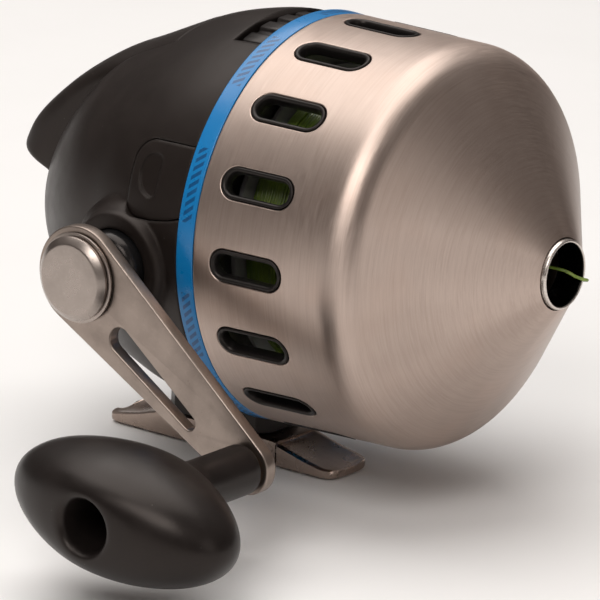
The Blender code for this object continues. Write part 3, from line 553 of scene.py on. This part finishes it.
# --- rear housing --------------------------------------------------------
# shell sections: y, radius, how far the circle's centre lies under the reel axis
SHELL = [(3.7, 37.8, 0.3), (11.0, 37.6, 0.4), (16.0, 37.0, 0.55), (21.8, 35.75, 0.7), (27.5, 33.8, 0.9),
         (35.2, 30.85, 1.05), (41.6, 27.1, 1.55), (47.4, 22.4, 2.3), (52.1, 17.8, 3.1), (55.3, 13.6, 3.75),
         (57.1, 9.5, 3.9), (58.1, 4.5, 3.9), (58.3, 1.0, 3.9)]
SHELL_WALL = 2.6
BUTTON_W = 13.2        # half width of the thumb button
PIVOT = (27.0, 25.0)   # y and z of its pin
AXIS_H = 47.0          # reel axis above the foot's underside
FOOT_SCREWS = (13.5, 25.5)


def shell_ring(y, radius, drop, steps=168, start=0.0):
    spots = [start + math.tau * i / steps for i in range(steps)]
    return [(radius * math.sin(a), y, radius * math.cos(a) - drop) for a in spots]


def prism(name, outline, low, high, axis="X"):
    """Solid from a closed outline in the other two coordinates."""
    pick = {"X": lambda u, v, h: (h, u, v), "Y": lambda u, v, h: (u, h, v),
            "Z": lambda u, v, h: (u, v, h)}[axis]
    return loft(name, [[pick(u, v, h) for u, v in outline] for h in (low, high)])


def carve(obj, steps, sharp=32.0):
    """Cuts, joins or crosses obj with other pieces, which are used up."""
    for kind, tool in steps:
        mod = obj.modifiers.new(kind.lower(), "BOOLEAN")
        mod.operation = kind
        mod.solver = "EXACT"
        mod.object = tool
    bpy.context.view_layer.update()
    mesh = bpy.data.meshes.new_from_object(obj.evaluated_get(bpy.context.evaluated_depsgraph_get()))
    obj.modifiers.clear()
    for _, tool in steps:
        bpy.data.objects.remove(tool, do_unlink=True)
    mesh.shade_smooth()
    mesh.set_sharp_from_angle(angle=math.radians(sharp))
    obj.data = mesh
    return obj


PLUG_ANGLE = math.radians(-71.3)
plug_out = Vector((math.sin(PLUG_ANGLE), 0.0, math.cos(PLUG_ANGLE)))
plug_up = Vector((math.cos(PLUG_ANGLE), 0.0, -math.sin(PLUG_ANGLE)))


def side_prism(name, outline, low, high):
    return loft(name, [[tuple(plug_out * depth + plug_up * t + Vector((0.0, y, 0.0))) for y, t in outline]
                       for depth in (low, high)])


def plug_outline(grow):
    top = 7.0 + grow
    low = -7.2 - grow
    front = 3.75 - grow * 4
    return ([(front, low + 1.5), (6.5, low + 0.6), (10.5, low)] + arc(13.4, low + 3.5, 3.5, -90, -20, 8)
            + [(16.9 + grow, 0.0)] + arc(12.5 + grow, top - 4.4, 4.4, 10, 90, 10) + [(front, top)])


def make_body():
    body = loft("body_skin", [shell_ring(*s) for s in smooth_run(SHELL, 5)])
    hollow = [(3.0, SHELL[0][1] - SHELL_WALL, SHELL[0][2])]
    hollow += [(y - 0.4 * i / 9, r - SHELL_WALL, drop) for i, (y, r, drop) in enumerate(SHELL[1:10])]
    hollow += [(56.0, 7.0, 3.9)]
    boss_outline = [(0.0, -39.0), (9.1, -39.5), (9.5, -39.4), (9.9, -38.9), (10.1, -38.2), (10.3, -37.5),
                    (10.7, -36.8), (11.3, -36.1), (12.2, -35.5), (12.3, -33.0), (8.7, -33.0), (8.7, -21.0),
                    (0.0, -21.0)]
    bore = [(0.0, -45.0), (7.0, -45.0), (7.0, -20.0), (0.0, -20.0)]
    opening = [(24.5, 20.0), (24.5, 50.0), (80.0, 50.0), (80.0, -8.5), (40.0, -8.5), (40.0, 20.0)]
    window = [(2.6, 29.7), (10.15, 29.7), (10.15, 36.3), (12.35, 38.7), (12.35, 42.0), (2.6, 42.0)]
    return carve(body, [
        ("DIFFERENCE", loft("inside", [shell_ring(*s, steps=96, start=0.03) for s in hollow])),
        ("UNION", lathe("boss", boss_outline, "X", CRANK, 96)),
        ("DIFFERENCE", lathe("groove", [(34.3, 3.0), (36.9, 3.0), (36.9, 9.9), (34.3, 9.9)], steps=150)),
        ("DIFFERENCE", lathe("bore", bore, "X", CRANK, 90)),
        ("DIFFERENCE", prism("opening", opening, -BUTTON_W - 0.4, BUTTON_W + 0.4)),
        ("DIFFERENCE", prism("window", window, -15.1, 15.1)),
        ("DIFFERENCE", side_prism("recess", plug_outline(0.2), 35.4, 45.0))])


def make_plug():
    rows = [(3.75,) + SHELL[0][1:]] + smooth_run(SHELL, 5)[1:13]
    plug = loft("plug_skin", [shell_ring(*s) for s in rows])
    inside = [(3.0, 37.25, 0.3), (10.2, 37.1, 0.4), (10.6, 36.6, 0.4), (16.0, 36.3, 0.55), (20.0, 35.9, 0.64)]
    dimple = [(10.2, -3.0), (10.2, 3.9), (11.3, 4.6), (13.4, 4.4), (14.6, 3.0), (14.9, 0.6), (14.3, -1.6),
              (12.9, -3.0), (11.4, -3.5)]
    return carve(plug, [
        ("DIFFERENCE", loft("inside", [shell_ring(*s, steps=150, start=0.03) for s in inside])),
        ("INTERSECT", side_prism("panel", plug_outline(0.0), 30.0, 45.0)),
        ("DIFFERENCE", side_prism("dimple", fillet(dimple, 0.6, 3), 36.7, 45.0))])


def crowned(name, points, half):
    """Solid across the button; points are (y, z, share of the crown, share of the corner rounding)."""
    crown_r, edge_r, corner_r = 28.0, 2.2, 5.0
    inner = [half * k / 14 for k in range(1, 14)]
    tight = [BUTTON_W - edge_r * (1 - math.sin(math.pi / 2 * k / 8)) for k in range(9)]
    stations = [0.0] + [x for x in inner if x < BUTTON_W - edge_r - 0.2]
    stations += [x for x in tight if x < half - 0.02] + [half]
    rings = []
    for x in [-x for x in stations[:0:-1]] + stations:
        wide = abs(x)
        edge = max(0.0, wide - BUTTON_W + edge_r)
        corner = max(0.0, wide - BUTTON_W + corner_r)
        sink = crown_r - math.sqrt(crown_r ** 2 - x * x)
        sink += edge_r - math.sqrt(max(0.0, edge_r ** 2 - edge ** 2))
        pull = corner_r - math.sqrt(max(0.0, corner_r ** 2 - corner ** 2))
        rings.append([(x, y - pull * b, z - sink * a) for y, z, a, b in points])
    piece = loft(name, rings)
    piece.modifiers.new("flat_faces", "TRIANGULATE")
    return piece


def make_button():
    top = smooth_run([(25.9, 33.6, 1, 0), (31.0, 31.4, 1, 0), (36.9, 28.8, 1, 0), (43.5, 26.0, 1, 0),
                      (50.2, 22.0, 1, 0.2), (56.1, 17.4, 1, 0.55), (60.9, 12.6, 0.9, 0.9),
                      (63.2, 8.2, 0.6, 1), (63.6, 5.4, 0.3, 1), (61.8, 3.2, 0.1, 1), (58.4, 1.6, 0, 0.8)], 4)
    under = [(53.0, -1.0, 0, 0.3), (50.6, 2.0, 0, 0.1), (47.0, 8.0, 0, 0), (42.0, 14.6, 0, 0),
             (36.0, 20.4, 0, 0), (31.0, 22.4, 0, 0), (25.2, 21.8, 0, 0), (24.9, 27.0, 0, 0)]
    button = crowned("button_skin", [(25.0, 33.2, 1, 0), (25.3, 33.5, 1, 0)] + top + under, BUTTON_W)
    hollow = [(26.9, 31.2, 1, 0), (31.2, 29.3, 1, 0), (36.0, 27.0, 1, 0), (42.5, 24.1, 1, 0),
              (48.9, 20.1, 1, 0.2), (54.9, 15.6, 1, 0.55), (59.2, 11.0, 0.9, 0.9), (61.2, 7.6, 0.6, 1),
              (61.1, 6.4, 0.4, 1), (60.4, 5.2, 0, 1), (57.4, 3.5, 0, 0.8), (54.0, 0.9, 0, 0.3),
              (52.0, -4.0, 0, 0), (24.0, -4.0, 0, 0), (20.0, 20.0, 0, 0), (20.0, 28.0, 0, 0),
              (26.9, 28.0, 0, 0)]
    pivot = [(0.0, -20.0), (1.35, -20.0), (1.35, 20.0), (0.0, 20.0)]
    return carve(button, [
        ("DIFFERENCE", crowned("hollow", hollow, BUTTON_W - 1.9)),
        ("DIFFERENCE", lathe("pivot", pivot, "X", PIVOT, 40))])


def make_dial():
    """Drag dial with rounded grip ribs."""
    ribs, per_rib = 44, 12
    count = ribs * per_rib
    outer = []
    for i in range(count):
        t = (i / per_rib) % 1.0
        rise = max(0.0, min(1.0, (t - 0.24) / 0.12)) * max(0.0, min(1.0, (1.0 - t) / 0.12))
        outer.append(36.0 + 0.75 * rise * rise * (3 - 2 * rise))

    def ring(y, inset=0.0, bore=None):
        spots = []
        for i in range(count):
            a = math.tau * i / count
            r = bore if bore else outer[i] - inset
            spots.append((r * math.sin(a), y, r * math.cos(a)))
        return spots

    rings = [ring(4.4, 0.3), ring(4.48, 0.1), ring(4.7), ring(9.2), ring(9.42, 0.1), ring(9.5, 0.3),
             ring(9.5, bore=34.6), ring(4.4, bore=34.6)]
    return loft("dial_skin", rings, closed=True)


def make_stem():
    outline = fillet([(-6.4, 9.5), (-4.4, 7.5), (4.4, 7.5), (6.4, 9.5), (6.4, 29.0), (4.4, 31.5),
                      (-4.4, 31.5), (-6.4, 29.0)], 0.9, 5)
    stem = prism("stem_skin", outline, 5.35 - AXIS_H, 22.0 - AXIS_H, "Z")
    top = [(0.0, -5.0), (38.4, -5.0)] + [(r + drop + 0.3, y) for y, r, drop in SHELL] + [(0.0, 58.9)]
    hole = [(0.0, -45.0), (1.9, -45.0), (1.9, -20.0), (0.0, -20.0)]
    holes = [("DIFFERENCE", lathe("hole", hole, "Z", (0.0, y), 32)) for y in FOOT_SCREWS]
    return carve(stem, [("DIFFERENCE", lathe("top", top, steps=168))] + holes)


body_skin = stands_for(make_body(), "housing", "shell_plastic", "body_shell")
plug_skin = stands_for(make_plug(), "housing", "shell_plastic", "side_plug")
button_skin = stands_for(make_button(), "thumb_lever", "shell_plastic", "thumb_button")
dial_skin = stands_for(make_dial(), "drag_adjuster", "black_plastic", "drag_dial")
stem_skin = stands_for(make_stem(), "housing", "black_plastic", "foot_stem")


# --- foot ----------------------------------------------------------------
def make_foot():
    stations = smooth_run([(-8.0, 3.0, 1.62), (-7.75, 4.4, 1.72), (-7.1, 5.5, 1.84), (-5.6, 6.25, 2.0),
                           (-1.0, 6.3, 2.9), (4.5, 6.3, 4.3), (7.0, 6.3, 5.0), (31.0, 6.3, 5.0),
                           (34.0, 6.3, 4.3), (39.0, 6.3, 2.9), (43.5, 6.25, 2.0), (45.1, 5.5, 1.84),
                           (45.75, 4.4, 1.72), (46.0, 3.0, 1.62)], 5)
    rings = []
    for y, half, thick in stations:
        dip = 0.6 * max(0.0, min(1.0, (4.95 - thick) / 0.6))
        section = [(-half, 0.45), (-half + 0.1, 0.2), (-half + 0.3, 0.04), (-half + 0.5, 0.0),
                   (half - 0.5, 0.0), (half - 0.3, 0.04), (half - 0.1, 0.2), (half, 0.45)]
        for k in range(21):
            s = 1 - 2 * k / 20
            edge = max(0.0, abs(s) - 0.9) / 0.1
            section.append((half * s, thick - dip * (1 - abs(s) ** 2.2) - 0.4 * edge ** 2.4))
        rings.append([(x, y, z - AXIS_H) for x, z in section])
    return loft("foot_skin", rings, sharp=50.0)


foot_skin = stands_for(make_foot(), "housing", "brushed_steel", "reel_foot")


# --- materials -----------------------------------------------------------
class Look:
    """A Principled material and short ways to add detail to it. Lengths are in millimetres."""

    def __init__(self, name, base, metallic=0.0, roughness=0.5, **sockets):
        self.material = bpy.data.materials.new(name)
        self.material.use_nodes = True
        self.nodes = self.material.node_tree.nodes
        self.links = self.material.node_tree.links
        self.shader = self.nodes["Principled BSDF"]
        self.base = base
        self.rough = roughness
        self.shader.inputs["Base Color"].default_value = (*base, 1.0)
        self.shader.inputs["Metallic"].default_value = metallic
        self.shader.inputs["Roughness"].default_value = roughness
        for key, value in sockets.items():
            self.shader.inputs[key.replace("_", " ")].default_value = value
        self.height = None
        self.colour = None
        coords = self.add("ShaderNodeTexCoord").outputs["Object"]
        shift = self.vector("SUBTRACT", coords, tuple(AXIS))
        self.mm = self.vector("SCALE", shift, 1.0 / MM)

    def add(self, kind, **settings):
        node = self.nodes.new(kind)
        for key, value in settings.items():
            setattr(node, key, value)
        return node

    def feed(self, socket, value):
        if isinstance(value, bpy.types.NodeSocket):
            self.links.new(value, socket)
        else:
            socket.default_value = value

    def vector(self, operation, a, b):
        node = self.add("ShaderNodeVectorMath", operation=operation)
        self.feed(node.inputs[0], a)
        self.feed(node.inputs["Scale"] if operation == "SCALE" else node.inputs[1], b)
        return node.outputs[0]

    def math(self, operation, a, b=0.0, clamp=False):
        node = self.add("ShaderNodeMath", operation=operation, use_clamp=clamp)
        self.feed(node.inputs[0], a)
        self.feed(node.inputs[1], b)
        return node.outputs[0]

    def ramp(self, value, low, high, out_low=0.0, out_high=1.0):
        node = self.add("ShaderNodeMapRange", interpolation_type="SMOOTHSTEP")
        for socket, v in zip(node.inputs[:5], (value, low, high, out_low, out_high)):
            self.feed(socket, v)
        return node.outputs[0]

    def stretched(self, scales):
        return self.vector("MULTIPLY", self.mm, scales)

    def turned(self, axis, centre, scales):
        """Coordinates round an axis, scaled: (angle in radians, radius, distance along)."""
        moved = self.vector("SUBTRACT", self.mm, centre)
        split = self.add("ShaderNodeSeparateXYZ")
        self.feed(split.inputs[0], moved)
        x, y, z = split.outputs
        u, v, along = (x, z, y) if axis == "Y" else (y, z, x)
        angle = self.math("ARCTAN2", u, v)
        radius = self.math("SQRT", self.math("ADD", self.math("MULTIPLY", u, u), self.math("MULTIPLY", v, v)))
        join = self.add("ShaderNodeCombineXYZ")
        for socket, value, scale in zip(join.inputs, (angle, radius, along), scales):
            self.feed(socket, self.math("MULTIPLY", value, scale))
        return join.outputs[0], (angle, radius, along)

    def noise(self, coords, scale=1.0, detail=3.0, roughness=0.55):
        node = self.add("ShaderNodeTexNoise")
        self.feed(node.inputs["Vector"], coords)
        node.inputs["Scale"].default_value = scale
        node.inputs["Detail"].default_value = detail
        node.inputs["Roughness"].default_value = roughness
        return node.outputs[0]

    def voronoi(self, coords, scale, feature="F1"):
        node = self.add("ShaderNodeTexVoronoi", feature=feature)
        self.feed(node.inputs["Vector"], coords)
        node.inputs["Scale"].default_value = scale
        return node.outputs[0]

    def tint(self, value, colour):
        """Mixes colour in where value is high."""
        node = self.add("ShaderNodeMix", data_type="RGBA")
        self.feed(node.inputs[0], value)
        self.feed(node.inputs[6], self.colour if self.colour else (*self.base, 1.0))
        node.inputs[7].default_value = (*colour, 1.0)
        self.colour = node.outputs[2]
        self.feed(self.shader.inputs["Base Color"], self.colour)
        return self

    def vary_rough(self, value, low, high):
        self.feed(self.shader.inputs["Roughness"], self.ramp(value, 0.25, 0.75, low, high))
        return self

    def bump(self, value, depth, strength=1.0):
        node = self.add("ShaderNodeBump")
        node.inputs["Strength"].default_value = strength
        node.inputs["Distance"].default_value = depth * MM
        self.feed(node.inputs["Height"], value)
        if self.height:
            self.feed(node.inputs["Normal"], self.height)
        self.height = node.outputs[0]
        self.feed(self.shader.inputs["Normal"], self.height)
        return self

    def soft_edges(self, radius):
        """Rounds the look of sharp edges."""
        node = self.add("ShaderNodeBevel")
        node.samples = 4
        node.inputs["Radius"].default_value = radius * MM
        self.height = node.outputs[0]
        return self

    def tangent(self, axis):
        node = self.add("ShaderNodeTangent", direction_type="RADIAL", axis=axis)
        self.feed(self.shader.inputs["Tangent"], node.outputs[0])
        return self


STEEL = (0.51, 0.412, 0.362)


def spun_steel():
    look = Look("spun_steel", STEEL, 1.0, 0.34, Anisotropic=0.75)
    look.tangent("Y")
    wide, _ = look.turned("Y", (0, 0, 0), (2.2, 2.6, 2.6))
    fine, _ = look.turned("Y", (0, 0, 0), (9.0, 7.5, 7.5))
    painted_sector_coords, _ = look.turned("Y", (0, 0, 0), (1.25, 0.015, 0.015))
    streak = look.noise(fine, 1.0, 3.0, 0.65)
    band = look.noise(wide, 1.0, 3.0, 0.6)
    cloud = look.noise(look.mm, 0.09, 3.0, 0.5)
    look.tint(look.ramp(band, 0.35, 0.75, 0.0, 0.5), (0.40, 0.31, 0.265))
    look.tint(look.ramp(streak, 0.42, 0.78, 0.0, 0.4), (0.62, 0.51, 0.45))
    look.tint(look.ramp(cloud, 0.45, 0.8, 0.0, 0.3), (0.50, 0.365, 0.30))
    # Painted reflection: darker radial sectors round the axis stand in for the dark reflected sectors of spun
    # steel.
    sector = look.noise(painted_sector_coords, 1.0, 2.0, 0.5)
    look.tint(look.ramp(sector, 0.40, 0.66, 0.0, 0.34), (0.24, 0.185, 0.155))
    look.vary_rough(streak, 0.29, 0.40)
    look.bump(streak, 0.012, 0.6)
    look.bump(band, 0.02, 0.3)
    return look.material


def satin_steel(name, base, stretch, rough):
    look = Look(name, base, 1.0, rough)
    grain = look.noise(look.stretched(stretch), 1.0, 4.0, 0.65)
    cloud = look.noise(look.mm, 0.16, 4.0, 0.6)
    pits = look.voronoi(look.mm, 0.55)
    look.tint(look.ramp(cloud, 0.4, 0.75, 0.0, 0.55), tuple(0.78 * c for c in base))
    look.tint(look.ramp(grain, 0.5, 0.8, 0.0, 0.3), tuple(1.3 * c for c in base))
    look.tint(look.ramp(pits, 0.10, 0.04, 0.0, 0.7), (0.22, 0.17, 0.14))
    look.vary_rough(cloud, rough - 0.05, rough + 0.09)
    look.bump(grain, 0.012, 0.5)
    return look.material


def bright_steel(name, axis=None, centre=(0, 0, 0), rough=0.24):
    look = Look(name, (0.50, 0.44, 0.395), 1.0, rough)
    if axis:
        coords, _ = look.turned(axis, centre, (1.6, 9.0, 5.0))
    else:
        coords = look.stretched((4.0, 4.0, 4.0))
    line = look.noise(coords, 1.0, 3.0, 0.6)
    smudge = look.noise(look.mm, 0.45, 3.0, 0.6)
    look.tint(look.ramp(smudge, 0.45, 0.75, 0.0, 0.4), (0.36, 0.305, 0.27))
    look.vary_rough(smudge, rough - 0.04, rough + 0.12)
    look.bump(line, 0.008, 0.5)
    return look.material


def moulded(name, base, rough, grain, worn, depth=0.02, edge=0.5, **sockets):
    """Moulded plastic: fine spark-eroded grain, faint rubbed patches and a little dust."""
    look = Look(name, base, 0.0, rough, IOR=1.36, Specular_Tint=(1.0, 0.88, 0.82, 1.0), **sockets)
    look.soft_edges(edge)
    fine = look.noise(look.mm, grain, 2.0, 0.6)
    rub = look.noise(look.mm, 0.11, 4.0, 0.6)
    dust = look.voronoi(look.mm, 0.42)
    look.tint(look.ramp(rub, 0.42, 0.78, 0.0, 0.6), worn)
    look.tint(look.ramp(dust, 0.05, 0.02, 0.0, 0.55), (0.16, 0.15, 0.14))
    look.vary_rough(rub, rough - 0.05, rough + 0.07)
    look.bump(fine, depth, 0.55)
    return look.material


def band_paint():
    """Blue band with a generic printed pattern: groups of slanted bars along the middle of the band."""
    look = Look("band_blue", (0.0, 0.17, 0.44), 0.0, 0.36, Coat_Weight=0.12, Coat_Roughness=0.15)
    _, (angle, radius, along) = look.turned("Y", (0, 0, 0), (1, 1, 1))
    lean = look.math("MULTIPLY", along, 0.022)
    fine = look.math("FRACT", look.math("MULTIPLY", look.math("ADD", angle, lean), 150 / math.tau))
    group = look.math("FRACT", look.math("ADD", look.math("MULTIPLY", angle, 9 / math.tau), 0.12))
    bars = look.ramp(fine, 0.44, 0.52)
    inside = look.math("MULTIPLY", look.ramp(group, 0.10, 0.105), look.ramp(group, 0.62, 0.615))
    middle = look.math("MULTIPLY", look.ramp(along, 0.95, 1.0), look.ramp(along, 2.75, 2.7))
    print_mask = look.math("MULTIPLY", look.math("MULTIPLY", bars, inside), middle)
    look.tint(look.math("MULTIPLY", print_mask, 0.75), (0.0, 0.035, 0.12))
    rub = look.noise(look.mm, 0.5, 4.0, 0.6)
    look.tint(look.ramp(rub, 0.55, 0.8, 0.0, 0.25), (0.02, 0.25, 0.56))
    look.vary_rough(rub, 0.26, 0.36)
    look.bump(look.noise(look.mm, 2.5, 2.0), 0.01, 0.4)
    return look.material


def nylon_line():
    look = Look("line_nylon", (0.22, 0.31, 0.05), 0.0, 0.25, IOR=1.52, Subsurface_Weight=0.25,
                Subsurface_Radius=(0.0006, 0.0008, 0.0003), Subsurface_Scale=1.0, Coat_Weight=0.3)
    coords, _ = look.turned("Y", (0, 0, 0), (1.5, 1.2, 2.4))
    shade = look.noise(coords, 1.0, 3.0, 0.6)
    look.tint(look.ramp(shade, 0.38, 0.68, 0.0, 0.8), (0.11, 0.18, 0.025))
    look.tint(look.ramp(look.noise(look.mm, 0.6), 0.5, 0.8, 0.0, 0.5), (0.38, 0.46, 0.13))
    look.vary_rough(shade, 0.2, 0.34)
    look.bump(look.noise(look.mm, 6.0, 2.0), 0.01, 0.3)
    return look.material


def cast_metal(name, base, rough):
    look = Look(name, base, 1.0, rough)
    grit = look.noise(look.mm, 4.5, 3.0, 0.6)
    cloud = look.noise(look.mm, 0.3, 3.0, 0.6)
    look.tint(look.ramp(cloud, 0.4, 0.75, 0.0, 0.5), tuple(0.75 * c for c in base))
    look.vary_rough(grit, rough - 0.05, rough + 0.1)
    look.bump(grit, 0.02, 0.5)
    return look.material


def ring_metal():
    """Polished ring, with painted shade darkening the inside of its hole."""
    look = Look("nose_metal", (0.66, 0.60, 0.555), 1.0, 0.26)
    _, (angle, radius, along) = look.turned("Y", (0, 0, 0), (1, 1, 1))
    fine = look.noise(look.stretched((3.0, 9.0, 3.0)), 1.0, 3.0, 0.6)
    look.tint(look.ramp(fine, 0.45, 0.8, 0.0, 0.5), (0.40, 0.36, 0.33))
    # Painted shade: the wall of the hole is darkened to near black.
    look.tint(look.ramp(radius, 5.86, 5.72), (0.012, 0.011, 0.010))
    look.vary_rough(fine, 0.22, 0.34)
    look.bump(fine, 0.01, 0.5)
    return look.material


def fibre_sheet():
    look = Look("fibre", (0.27, 0.18, 0.10), 0.0, 0.85)
    weave = look.noise(look.stretched((3.0, 0.6, 3.0)), 1.0, 4.0, 0.7)
    look.tint(look.ramp(weave, 0.4, 0.7, 0.0, 0.6), (0.14, 0.09, 0.05))
    look.bump(weave, 0.03, 0.7)
    return look.material


spun = spun_steel()
arm_steel = satin_steel("arm_steel", (0.31, 0.255, 0.222), (1.2, 1.2, 1.2), 0.34)
foot_steel = satin_steel("foot_steel", (0.44, 0.35, 0.30), (5.0, 0.35, 5.0), 0.27)
cap_steel = satin_steel("cap_steel", (0.36, 0.31, 0.28), (1.6, 1.6, 1.6), 0.28)
pin_steel = bright_steel("pin_steel")
rim_steel = bright_steel("rim_steel", "Y", (0, 0, 0), 0.22)
shell_black = moulded("shell_black", (0.0105, 0.0076, 0.0066), 0.40, 5.0, (0.017, 0.0125, 0.011), 0.016, 0.9)
gloss_black = moulded("gloss_black", (0.006, 0.006, 0.0065), 0.18, 3.0, (0.011, 0.010, 0.010), 0.004)
lip_black = moulded("lip_black", (0.008, 0.007, 0.007), 0.34, 5.0, (0.014, 0.012, 0.012), 0.01, 0.1)
stem_black = moulded("stem_black", (0.009, 0.0078, 0.0078), 0.34, 5.0, (0.015, 0.013, 0.012), 0.012)
knob_black = moulded("knob_black", (0.0085, 0.0065, 0.006), 0.34, 4.0, (0.014, 0.0105, 0.0095), 0.016)
spool_grey = moulded("spool_grey", (0.50, 0.50, 0.49), 0.42, 4.0, (0.42, 0.42, 0.41), 0.012)
band_blue = band_paint()
nylon = nylon_line()
brass = cast_metal("brass", (0.70, 0.50, 0.22), 0.3)
zinc = cast_metal("zinc", (0.46, 0.45, 0.44), 0.4)
nose_metal = ring_metal()
fibre = fibre_sheet()

NODE_LOOKS = {
    "body_shell": shell_black, "side_plug": shell_black, "thumb_button": shell_black,
    "drag_dial": stem_black, "foot_stem": stem_black,
    "spool": spool_grey, "line_lead": nylon,
    "pinion_bush": brass, "knob_bush": brass, "pinion_gear": brass, "drive_gear": brass,
    "gear_deck": zinc, "ratchet_wheel": zinc, "drag_washer": fibre,
}
for name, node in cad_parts.items():
    if node.hide_render:
        continue
    node.data.materials.clear()
    node.data.materials.append(NODE_LOOKS.get(name, pin_steel))
for piece, look in ((free_line, nylon), (cover_skin, spun), (liner_skin, lip_black), (band_skin, band_blue),
                    (nose_skin, nose_metal), (winding, nylon), (spinner_skin, rim_steel),
                    (arm_skin, arm_steel), (cap_skin, cap_steel), (washer_skin, cap_steel),
                    (body_skin, shell_black), (plug_skin, shell_black), (button_skin, shell_black),
                    (dial_skin, stem_black), (stem_skin, stem_black), (collar_skin, gloss_black),
                    (knob_skin, knob_black), (foot_skin, foot_steel)):
    piece.data.materials.clear()
    piece.data.materials.append(look)


# --- floor, light and surroundings ---------------------------------------
def make_floor():
    half, cells = 3.0, 12
    bm = bmesh.new()
    grid = [[bm.verts.new((-half + 2 * half * i / cells, -half + 2 * half * j / cells, -0.0004))
             for j in range(cells + 1)] for i in range(cells + 1)]
    for i in range(cells):
        for j in range(cells):
            bm.faces.new((grid[i][j], grid[i + 1][j], grid[i + 1][j + 1], grid[i][j + 1]))
    floor = finish_mesh("floor", bm)
    look = Look("floor_paper", (0.88, 0.875, 0.87), 0.0, 0.75)
    look.tint(look.ramp(look.noise(look.mm, 0.02), 0.4, 0.7, 0.0, 0.5), (0.86, 0.855, 0.85))
    floor.data.materials.append(look.material)


def softbox(name, spot, aim, width, height, power, colour=(1.0, 0.97, 0.94)):
    data = bpy.data.lights.new(name, "AREA")
    data.shape = "RECTANGLE"
    data.size = width
    data.size_y = height
    data.energy = power
    data.color = colour
    light = bpy.data.objects.new(name, data)
    light.location = spot
    light.rotation_mode = "QUATERNION"
    light.rotation_quaternion = (Vector(aim) - Vector(spot)).to_track_quat("-Z", "Y")
    bpy.context.scene.collection.objects.link(light)


def make_world():
    world = bpy.data.worlds.new("studio")
    world.use_nodes = True
    nodes, links = world.node_tree.nodes, world.node_tree.links
    back = nodes["Background"]
    coords = nodes.new("ShaderNodeTexCoord")
    split = nodes.new("ShaderNodeSeparateXYZ")
    ramp = nodes.new("ShaderNodeValToRGB")
    links.new(coords.outputs["Generated"], split.inputs[0])
    links.new(split.outputs[2], ramp.inputs[0])
    links.new(ramp.outputs[0], back.inputs["Color"])
    stops = [(0.0, (0.07, 0.056, 0.05)), (0.14, (0.08, 0.066, 0.06)), (0.42, (0.22, 0.20, 0.19)),
             (1.0, (0.36, 0.345, 0.335))]
    for element, (position, colour) in zip(ramp.color_ramp.elements, (stops[0], stops[-1])):
        element.position = position
        element.color = (*colour, 1.0)
    for position, colour in stops[1:-1]:
        ramp.color_ramp.elements.new(position).color = (*colour, 1.0)
    back.inputs["Strength"].default_value = 1.0
    bpy.context.scene.world = world


make_floor()
make_world()
softbox("key", (-0.75, -0.25, 0.75), (0.0, 0.0, 0.04), 0.55, 0.45, 4.2)
softbox("top", (0.1, 0.3, 1.3), (0.0, 0.0, 0.0), 1.4, 1.4, 17.0)
softbox("front", (-0.2, -1.1, 0.35), (0.0, 0.0, 0.05), 0.5, 0.5, 0.8)
bpy.context.scene.view_settings.view_transform = "Standard"

bpy.context.view_layer.update()
